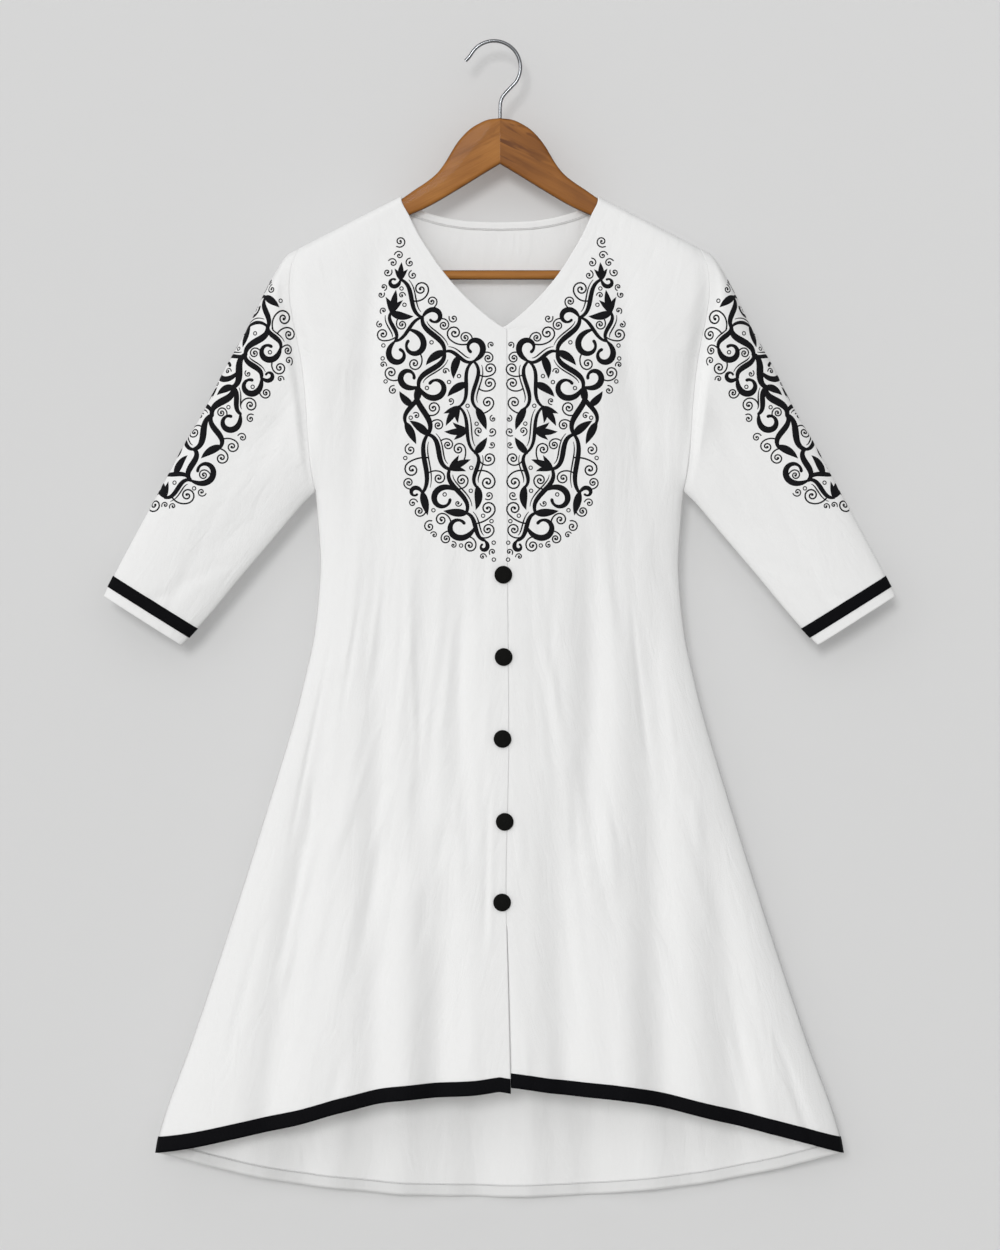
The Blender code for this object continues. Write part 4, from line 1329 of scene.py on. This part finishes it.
# Tendrils: length, radius, width, tries. Spirals: radius, turns, width, tries. Eyelets: no turns
TENDRILS = ((24, 8.4, 1.9, 900), (17, 7.0, 1.75, 1700), (11, 5.8, 1.65, 2400))
SPIRALS = ((8.0, 1.6, 1.7, 900), (6.6, 1.45, 1.6, 1500), (5.2, 1.25, 1.5, 2400), (4.0, 1.1, 1.4, 2600))
EYELETS = (1.9, 1.2, 500)
FRINGE = 8.0  # the edge of the design, which only fine threads fill
CURL_SWEEP, LEAF_BEND, FAN_BEND = 300, 45, 25  # how far each may turn, in degrees
TENDRIL_SWEEPS = (40, 110)
# The gap to other threads, and the share by the root that may cross them
FAN_ROOM, LEAF_ROOM, TENDRIL_ROOM, CURL_ROOT = (1.0, 0.45), (0.95, 0.4), (0.5, 0.2), 0.24
SPIRAL_GAP, SPIRAL_MARGIN = 0.6, 0.8
BESIDE, BESIDE_WIDTH, BESIDE_GAP = 4.8, 1.8, 0.3  # the thin line that keeps a stem company
HEADINGS, HEADING_STEP = 24, 15


def grow_joints(work, knots, stems):
    """Joins the knots by stems. It gives back the knots, with the middles of the stems."""
    for first, second, bow, width in stems:
        a, b = knots[first], knots[second]
        side = np.array([-(b - a)[1], (b - a)[0]]) * bow
        work.take(stem(a, a + (b - a) * 0.3 + side, a + (b - a) * 0.7 - side, b, width))
    for stroke in list(work.strokes):
        for away in (BESIDE, -BESIDE):
            thin = beside(stroke, away, BESIDE_WIDTH)
            if work.fits(thin, BESIDE_GAP):
                work.take(thin)
                break
    middles = [stroke[STEM_POINTS // 2, :2] for stroke in work.strokes[: len(stems)]]
    return np.vstack([knots, middles])


print("a design has", len(CURLS), "sizes of curl and", len(SPIRALS), "of spiral")


# %% Growing from the knots and between them
def try_at_knots(work, knots, rng, gap, skip, make):
    """Lets what make draws grow from each knot, at the first heading that leaves it room."""
    for at in rng.permutation(len(knots)):
        for heading in rng.permutation(HEADINGS) * HEADING_STEP:
            made = make(knots[at], heading)
            if all(work.fits(stroke, gap, skip, FRINGE) for stroke in made):
                for stroke in made:
                    work.take(stroke)
                break


def grow_from_knots(work, knots, rng):
    def bend(most):
        return rng.uniform(-most, most)

    for long, wide in PALMETTES:
        try_at_knots(
            work, knots[::3], rng, *FAN_ROOM,
            lambda at, heading: palmette(at, heading, long, wide, bend(FAN_BEND)),
        )
    for (width, gap, lengths), (long, wide) in zip(CURLS, LEAVES):
        for length in lengths:
            try_at_knots(
                work, knots, rng, gap, CURL_ROOT,
                lambda at, heading: [
                    curl(at, heading, length, rng.choice([-CURL_SWEEP, CURL_SWEEP]), width)
                ],
            )
        try_at_knots(
            work, knots, rng, *LEAF_ROOM,
            lambda at, heading: [leaf(at, heading, long, wide, bend(LEAF_BEND))],
        )


def grow_between(work, rng):
    """Fills what is left with tendrils from the strokes, then with spirals and eyelets."""
    roots = np.vstack([stroke[4:-4:3, :2] for stroke in work.strokes if len(stroke) > 12])
    for length, radius, width, tries in TENDRILS:
        for _ in range(tries):
            sweep = rng.choice([-1, 1]) * rng.uniform(*TENDRIL_SWEEPS)
            root = roots[rng.integers(len(roots))]
            made = tendril(root, rng.uniform(0, 360), length, sweep, radius, width)
            if work.fits(made, *TENDRIL_ROOM):
                work.take(made)
    low, high = work.outline.min(axis=0), work.outline.max(axis=0)
    for radius, turns, width, tries in (*SPIRALS, (EYELETS[0], 0, *EYELETS[1:])):
        for _ in range(tries):
            centre = rng.uniform(low, high)
            x, y = work.cells(centre[None])[0]
            if work.room[x, y] < radius + SPIRAL_MARGIN:
                continue
            hand, angle = rng.choice([-1, 1]), rng.uniform(0, math.tau)
            made = eyelet(centre, radius, width)
            if turns:
                made = spiral(centre, radius, turns, angle, hand, width)
            if work.fits(made, SPIRAL_GAP):
                work.take(made)


def grow(outline, knots, stems, seed):
    """All the strokes of one design."""
    work, rng = Scrollwork(outline), np.random.default_rng(seed)
    places = grow_joints(work, np.array(knots, float), stems)
    grow_from_knots(work, places, rng)
    grow_between(work, rng)
    return work.strokes


print("fine threads alone fill the last", FRINGE, "mm")

# %% The bib, in millimetres out from its middle line and down from the rail
BIB_MIDDLE = 1.6
BIB_OUTLINE = (
    (112, 212), (122, 235), (131, 262), (136, 290), (137, 316), (133, 345), (130, 372), (118, 392),
    (108, 420), (108, 455), (106, 500), (94, 525), (74, 544), (58, 556), (42, 558), (26, 566),
    (9, 573), (6, 570), (6, 500), (6, 420), (6, 340), (9, 326), (22, 322), (37, 318), (46, 305),
    (60, 292), (76, 275), (88, 258), (97, 240), (100, 220),
)
BIB_KNOTS = (
    (110, 262), (86, 304), (116, 330), (62, 342), (30, 352), (90, 380), (46, 402), (80, 432),
    (28, 452), (56, 470), (86, 496), (38, 518), (18, 548), (26, 404), (26, 490), (120, 298),
    (104, 420),
)
BIB_STEMS = (
    (0, 1, 0.25, 4.4), (1, 2, -0.2, 3.6), (1, 3, -0.25, 5.2), (3, 4, 0.3, 3.8), (3, 5, 0.3, 5.4),
    (4, 6, -0.25, 3.8), (5, 7, -0.3, 5.6), (6, 8, 0.2, 3.6), (7, 9, 0.3, 5.0), (7, 10, -0.2, 4.8),
    (9, 11, -0.3, 4.8), (11, 12, 0.25, 4.4), (4, 13, 0.3, 4.0), (8, 14, 0.3, 4.0), (2, 15, -0.3, 4.0),
    (5, 16, 0.3, 4.6),
)
bib_strokes = grow(BIB_OUTLINE, BIB_KNOTS, BIB_STEMS, 21)
print("half of the bib has", len(bib_strokes), "strokes")

# %% [markdown]
# ## Laying the threads on the cloth
#
# A satin stitch stands a little above its cloth, rounded across. Each stroke becomes a strip
# whose middle is raised, and whose ends are rounded off. The bib's strips are dropped on the
# fronts' own mesh, point by point from the front, so that they follow every fold. The vine's
# strips are laid on a patch of each sleeve, unrolled round its outer fold.

# %% A raised strip of thread
THREAD_RISE, THREAD_SINK = 0.5, 0.25
THREAD_LEAST = 0.12  # half the width of the finest line
# Across and up, as shares of the half width and of the rise
THREAD_SECTION = ((-1, -1), (-0.85, 0.5), (0, 1), (0.85, 0.5), (1, -1))


def rounded_ends(stroke):
    """Adds points at both ends, so that a stroke ends in half a circle."""
    run = []
    for end, before in ((0, 1), (-1, -2)):
        away = stroke[end, :2] - stroke[before, :2]
        away /= np.linalg.norm(away)
        half = stroke[end, 2] / 2
        angle = np.radians([30, 60, 84])
        spots = stroke[end, :2] + np.sin(angle)[:, None] * away * half
        run.append(np.column_stack([spots, 2 * half * np.cos(angle)]))
    return np.vstack([run[0][::-1], stroke, run[1]])


def dropped_on(trees, x, drop):
    """Where points of the front view meet the nearest of some meshes, in millimetres."""
    origin = Vector(((x + GARMENT_X) * MM, -1.0, -drop * MM))
    hits = [tree.ray_cast(origin, Vector((0, 1, 0))) for tree in trees]
    hits = [(hit[0].y, hit[1]) for hit in hits if hit[0] is not None]
    if not hits:
        return None
    depth, normal = min(hits, key=lambda hit: hit[0])
    return np.array([x, depth / MM, -drop]), np.array(normal)


def thread_shape(strokes, on_cloth):
    """One mesh for many strokes. on_cloth gives each point's place and the cloth's normal."""
    shape = bmesh.new()
    weave = shape.loops.layers.uv.new("weave")
    columns = len(THREAD_SECTION)
    for stroke in strokes:
        full = rounded_ends(stroke)
        side = square_to(full)
        passed = arc_lengths(full[:, :2])
        rows = []
        for (across, down, width), (side_x, side_y), so_far in zip(full, side, passed):
            half = max(THREAD_LEAST, width / 2)
            left = on_cloth(across - side_x * half, down - side_y * half)
            right = on_cloth(across + side_x * half, down + side_y * half)
            middle = on_cloth(across, down)
            if left is None or right is None or middle is None:
                rows = None
                break
            rise = THREAD_RISE * min(1.0, 0.45 + half / 2.6)
            row = []
            for share, up in THREAD_SECTION:
                near, far = (middle, left) if share < 0 else (middle, right)
                spot = near[0] + (far[0] - near[0]) * abs(share)
                lift = up * rise if up > 0 else -THREAD_SINK
                row.append(shape.verts.new(Vector((spot + middle[1] * lift + [GARMENT_X, 0, 0]) * MM)))
            rows.append((row, so_far * MM, half * MM))
        if rows is None:
            continue
        for (row, start, half), (after, end, wide) in zip(rows, rows[1:]):
            for number in range(columns):
                beyond = (number + 1) % columns
                corners = (row[number], row[beyond], after[beyond], after[number])
                places = ((0, start, half), (1, start, half), (1, end, wide), (0, end, wide))
                for loop, (step, length, width) in zip(shape.faces.new(corners).loops, places):
                    share = (number + step) / (columns - 1) - 0.5
                    loop[weave].uv = (share * 2 * width, length)
        shape.faces.new(rows[0][0][::-1])
        shape.faces.new(rows[-1][0])
    bmesh.ops.recalc_face_normals(shape, faces=shape.faces[:])
    return shape


print("threads stand", THREAD_RISE, "mm above the cloth")


# %% The thread's finish
def satin_finish(name):
    """Black rayon thread: close ribs across the line, with a soft sheen along them."""
    satin = Finish(name)
    where = satin.laid()
    stitches = satin.ribs(where, "Y", 420.0, 1.5, 2.0, 1.0)
    worn = satin.noise(where, 260.0, 2.0)
    tone = satin.mix(stitches * 0.6 + worn * 0.4, (0.002, 0.002, 0.003), (0.011, 0.011, 0.013))
    satin.base(Base_Color=tone, Roughness=0.5 + worn * 0.2, Specular_IOR_Level=0.1)
    return satin.bump(stitches * 0.7 + worn * 0.3, 0.00025)


satin = satin_finish("satin_thread")
print("satin thread is ready")


# %% Embroidering the fronts
def mesh_tree(mesh):
    points = [vertex.co for vertex in mesh.vertices]
    return BVHTree.FromPolygons(points, [face.vertices for face in mesh.polygons])


front_trees = [mesh_tree(front.data) for front in fronts.values()]
for side, name in SIDES:
    shape = thread_shape(
        bib_strokes,
        lambda out, drop, side=side: dropped_on(front_trees, BIB_MIDDLE + side * out, drop),
    )
    add_piece(f"bib_thread_{name}", shape, satin, [])

# %% The vine's outline, knots and stems, along each sleeve's outer fold
SLEEVE_RUN = sum(math.dist(a, b) for a, b in zip(SLEEVE_OUTER, SLEEVE_OUTER[1:]))
VINE_FIRST, VINE_LAST, VINE_REACH = 36.0, 350.0, 74.0
PATCH_STEP = 1.5
PATCH_TURN, PATCH_LINES, PATCH_POINTS = 0.62, 120, 300  # measured round the fold and along it
# In from the fold, where less than none is on the back, and along it from the shoulder
VINE_OUTLINE = (
    (3, 44), (16, 54), (38, 65), (57, 78), (63, 92), (67, 103), (70, 120), (70, 136), (64, 160),
    (58, 178), (57, 196), (61, 223), (57, 243), (59, 271), (49, 297), (25, 321), (6, 337), (-12, 328),
    (-28, 316), (-44, 292), (-50, 262), (-50, 222), (-48, 180), (-46, 140), (-40, 105), (-26, 78),
    (-10, 58),
)
VINE_KNOTS = (
    (11, 68), (28, 96), (50, 108), (18, 134), (46, 148), (22, 172), (-14, 150), (42, 194), (14, 210),
    (-20, 198), (40, 236), (16, 252), (-16, 246), (28, 284), (-8, 288), (12, 314), (-20, 112),
)
VINE_STEMS = (
    (0, 1, 0.25, 5.6), (1, 3, -0.3, 6.6), (1, 2, 0.25, 5.0), (3, 4, 0.3, 5.4), (3, 5, 0.3, 7.0),
    (3, 6, -0.2, 4.2), (5, 7, -0.25, 5.2), (5, 8, -0.35, 7.2), (8, 9, 0.3, 4.4), (8, 10, 0.3, 5.6),
    (8, 11, 0.3, 6.6), (11, 12, -0.3, 4.4), (11, 13, -0.35, 6.0), (13, 14, 0.3, 4.6),
    (13, 15, 0.3, 4.6), (1, 16, 0.25, 3.8),
)

print("the outer fold of a sleeve is", round(SLEEVE_RUN), "mm long")


# %% Embroidering the sleeves
def sleeve_patch(side):
    """The sleeve's surface round its outer fold, in even steps along it and square to it."""
    downs = np.arange(VINE_FIRST, VINE_LAST + PATCH_STEP, PATCH_STEP)
    acrosses = np.arange(-VINE_REACH, VINE_REACH + PATCH_STEP, PATCH_STEP)
    rings = np.linspace(0.02, RINGS - 1, PATCH_POINTS)
    (start_half, start_drop), (end_half, end_drop) = SLEEVE_OUTER[2], SLEEVE_OUTER[-2]
    run = Vector((end_half - start_half, end_drop - start_drop)).normalized()
    fold = np.stack(along(SLEEVE_OUTER, downs / SLEEVE_RUN), axis=-1)
    levels = fold @ np.array(run)
    turns = (1 - np.cos(np.linspace(0, PATCH_TURN, PATCH_LINES) * math.pi)) / 2
    patch = np.empty((len(acrosses), len(downs), 3))
    for face in (1, -1):
        around = turns if face > 0 else 2 - turns
        lines = []
        for turn in around:
            points = sleeve_at(side, np.full(len(rings), turn), rings)
            level = side * points[:, 0] * run[0] - points[:, 2] * run[1]
            ring = np.interp(levels, level, rings)
            lines.append(sleeve_at(side, np.full(len(downs), turn), ring))
        lines = np.array(lines)
        steps = np.linalg.norm(np.diff(lines, axis=0), axis=2)
        passed = np.concatenate([np.zeros((1, len(downs))), np.cumsum(steps, axis=0)])
        mine = acrosses * face >= 0
        for number in range(len(downs)):
            for axis in range(3):
                patch[mine, number, axis] = np.interp(
                    acrosses[mine] * face, passed[:, number], lines[:, number, axis]
                )
    return patch


def on_patch(patch, side):
    """A function that finds the place and the normal at a point of a sleeve's patch."""
    normals = np.cross(np.gradient(patch, axis=0), np.gradient(patch, axis=1)) * side
    normals /= np.linalg.norm(normals, axis=2, keepdims=True)
    whole = np.concatenate([patch, normals], axis=2)

    def found(across, down):
        i, j = (across + VINE_REACH) / PATCH_STEP, (down - VINE_FIRST) / PATCH_STEP
        a, b = int(i), int(j)
        i, j = i - a, j - b
        row = (1 - i) * whole[a, b : b + 2] + i * whole[a + 1, b : b + 2]
        mixed = (1 - j) * row[0] + j * row[1]
        return mixed[:3], mixed[3:]

    return found


vine_strokes = grow(VINE_OUTLINE, VINE_KNOTS, VINE_STEMS, 15)
for side, name in SIDES:
    patch = sleeve_patch(side)
    shape = thread_shape(vine_strokes, on_patch(patch, side))
    add_piece(f"vine_thread_{name}", shape, satin, [])
    print("vine", name, "has", len(vine_strokes), "strokes")

# %% [markdown]
# ## The cut of the cloth
#
# The tunic is cut as five sheets. The area printed for each is that of the hung cloth's own
# surface, folds and all, since cloth neither stretches nor shrinks much when it hangs.

# %% The sheets
print("five sheets: two fronts, the back and two sleeves")

# %% [markdown]
# ## Wall, floor, light and camera
#
# The tunic hangs just clear of a plain grey wall. One broad lamp from the upper left gives
# soft shadows on the lower right. A second one from the left brings out the folds and casts
# no shadow, and the bright surroundings fill the rest. The wall shows only its front, so that
# the garment's back can be seen from behind.

# %% The room
def staged_plane(name, low, high, finish):
    """A flat rectangle between two corners: upright, or level where both are as high."""
    shape = bmesh.new()
    bmesh.ops.create_grid(shape, x_segments=1, y_segments=1, size=0.5)
    second = 1 if low[2] == high[2] else 2
    for vertex in shape.verts:
        corner = list(low)
        for axis, share in ((0, vertex.co.x + 0.5), (second, vertex.co.y + 0.5)):
            corner[axis] += (high[axis] - low[axis]) * share
        vertex.co = corner
    plane = linked(name, shape, finish)
    return plane


WALL_Y, FLOOR_Z, ROOM = 0.048, -1.5, 9
wall_paint = Finish("wall_paint")
wall_paint.base(Base_Color=(0.665, 0.665, 0.665, 1.0), Roughness=1.0, Specular_IOR_Level=0.0)
clear = wall_paint.node("BsdfTransparent")
behind = wall_paint.node("NewGeometry", output=6)
shown = wall_paint.node("MixShader", None, {0: behind, 2: clear})
wall_paint.tree.links.new(wall_paint.shader.outputs[0], shown.socket.node.inputs[1])
wall_paint.tree.links.new(shown.socket, wall_paint.tree.nodes["Material Output"].inputs["Surface"])
wall = staged_plane("back_wall", (-ROOM, WALL_Y, FLOOR_Z), (ROOM, WALL_Y, 4), wall_paint)
wall.visible_shadow = False
wall.visible_diffuse = False
floor_paint = Finish("floor_paint").base(Base_Color=(0.62, 0.62, 0.61, 1.0), Roughness=0.9)
staged_plane("pale_floor", (-ROOM, -ROOM, FLOOR_Z), (ROOM, ROOM, FLOOR_Z), floor_paint)
print("the wall is", round(WALL_Y / MM), "mm behind the hanger")

# %% The surroundings
surroundings = bpy.data.worlds.new("surroundings")
bpy.context.scene.world = surroundings
surroundings.use_nodes = True
sky = surroundings.node_tree
sky.nodes["Background"].inputs["Color"].default_value = (1, 1, 1, 1)
toward = sky.nodes.new("ShaderNodeSeparateXYZ")
sky.links.new(sky.nodes.new("ShaderNodeTexCoord").outputs["Generated"], toward.inputs[0])


def sky_maths(operation, *values):
    """One Math node of the surroundings."""
    node = sky.nodes.new("ShaderNodeMath")
    node.operation = operation
    for place, value in zip(node.inputs, values):
        if isinstance(value, bpy.types.NodeSocket):
            sky.links.new(value, place)
        else:
            place.default_value = value
    return node.outputs[0]


# Bright in front and behind, darker to the sides, and a little brighter from the upper left
ahead = sky_maths("MULTIPLY_ADD", sky_maths("ABSOLUTE", toward.outputs["Y"]), 0.98, 0.2)
slant = sky_maths("MULTIPLY_ADD", toward.outputs["X"], -0.24, 0.86)
slant = sky_maths("MULTIPLY_ADD", toward.outputs["Z"], 0.18, slant)
sky.links.new(sky_maths("MULTIPLY", ahead, slant), sky.nodes["Background"].inputs["Strength"])

print("the surroundings are lit")


# %% Lamps and camera
def lamp_from(name, direction, energy, angle, shadow):
    """A far lamp that shines along a direction."""
    lamp = bpy.data.lights.new(name, "SUN")
    lamp.energy, lamp.angle, lamp.use_shadow = energy, math.radians(angle), shadow
    holder = bpy.data.objects.new(name, lamp)
    holder.rotation_mode = "QUATERNION"
    holder.rotation_quaternion = Vector(direction).to_track_quat("-Z", "Y")
    bpy.context.scene.collection.objects.link(holder)


lamp_from("softbox", (0.15, 1.0, -0.22), 0.95, 14, True)
lamp_from("side_lamp", (1.0, 0.38, -0.22), 0.56, 25, False)

camera = bpy.data.cameras.new("camera")
camera.sensor_width = 36.0
FRAME_HEIGHT, CAMERA_DISTANCE = 1.375, 5.0
CAMERA_X, CAMERA_Z = 0.00655, -0.6405
camera.lens = camera.sensor_width * CAMERA_DISTANCE / FRAME_HEIGHT
camera.clip_start, camera.clip_end = 0.1, 60.0
camera_object = bpy.data.objects.new("camera", camera)
camera_object.location = (CAMERA_X, -CAMERA_DISTANCE, CAMERA_Z)
camera_object.rotation_euler = (math.radians(90), 0, 0)
bpy.context.scene.collection.objects.link(camera_object)
bpy.context.scene.camera = camera_object
bpy.context.scene.view_settings.view_transform = "Standard"
print("the camera stands", CAMERA_DISTANCE, "m away")
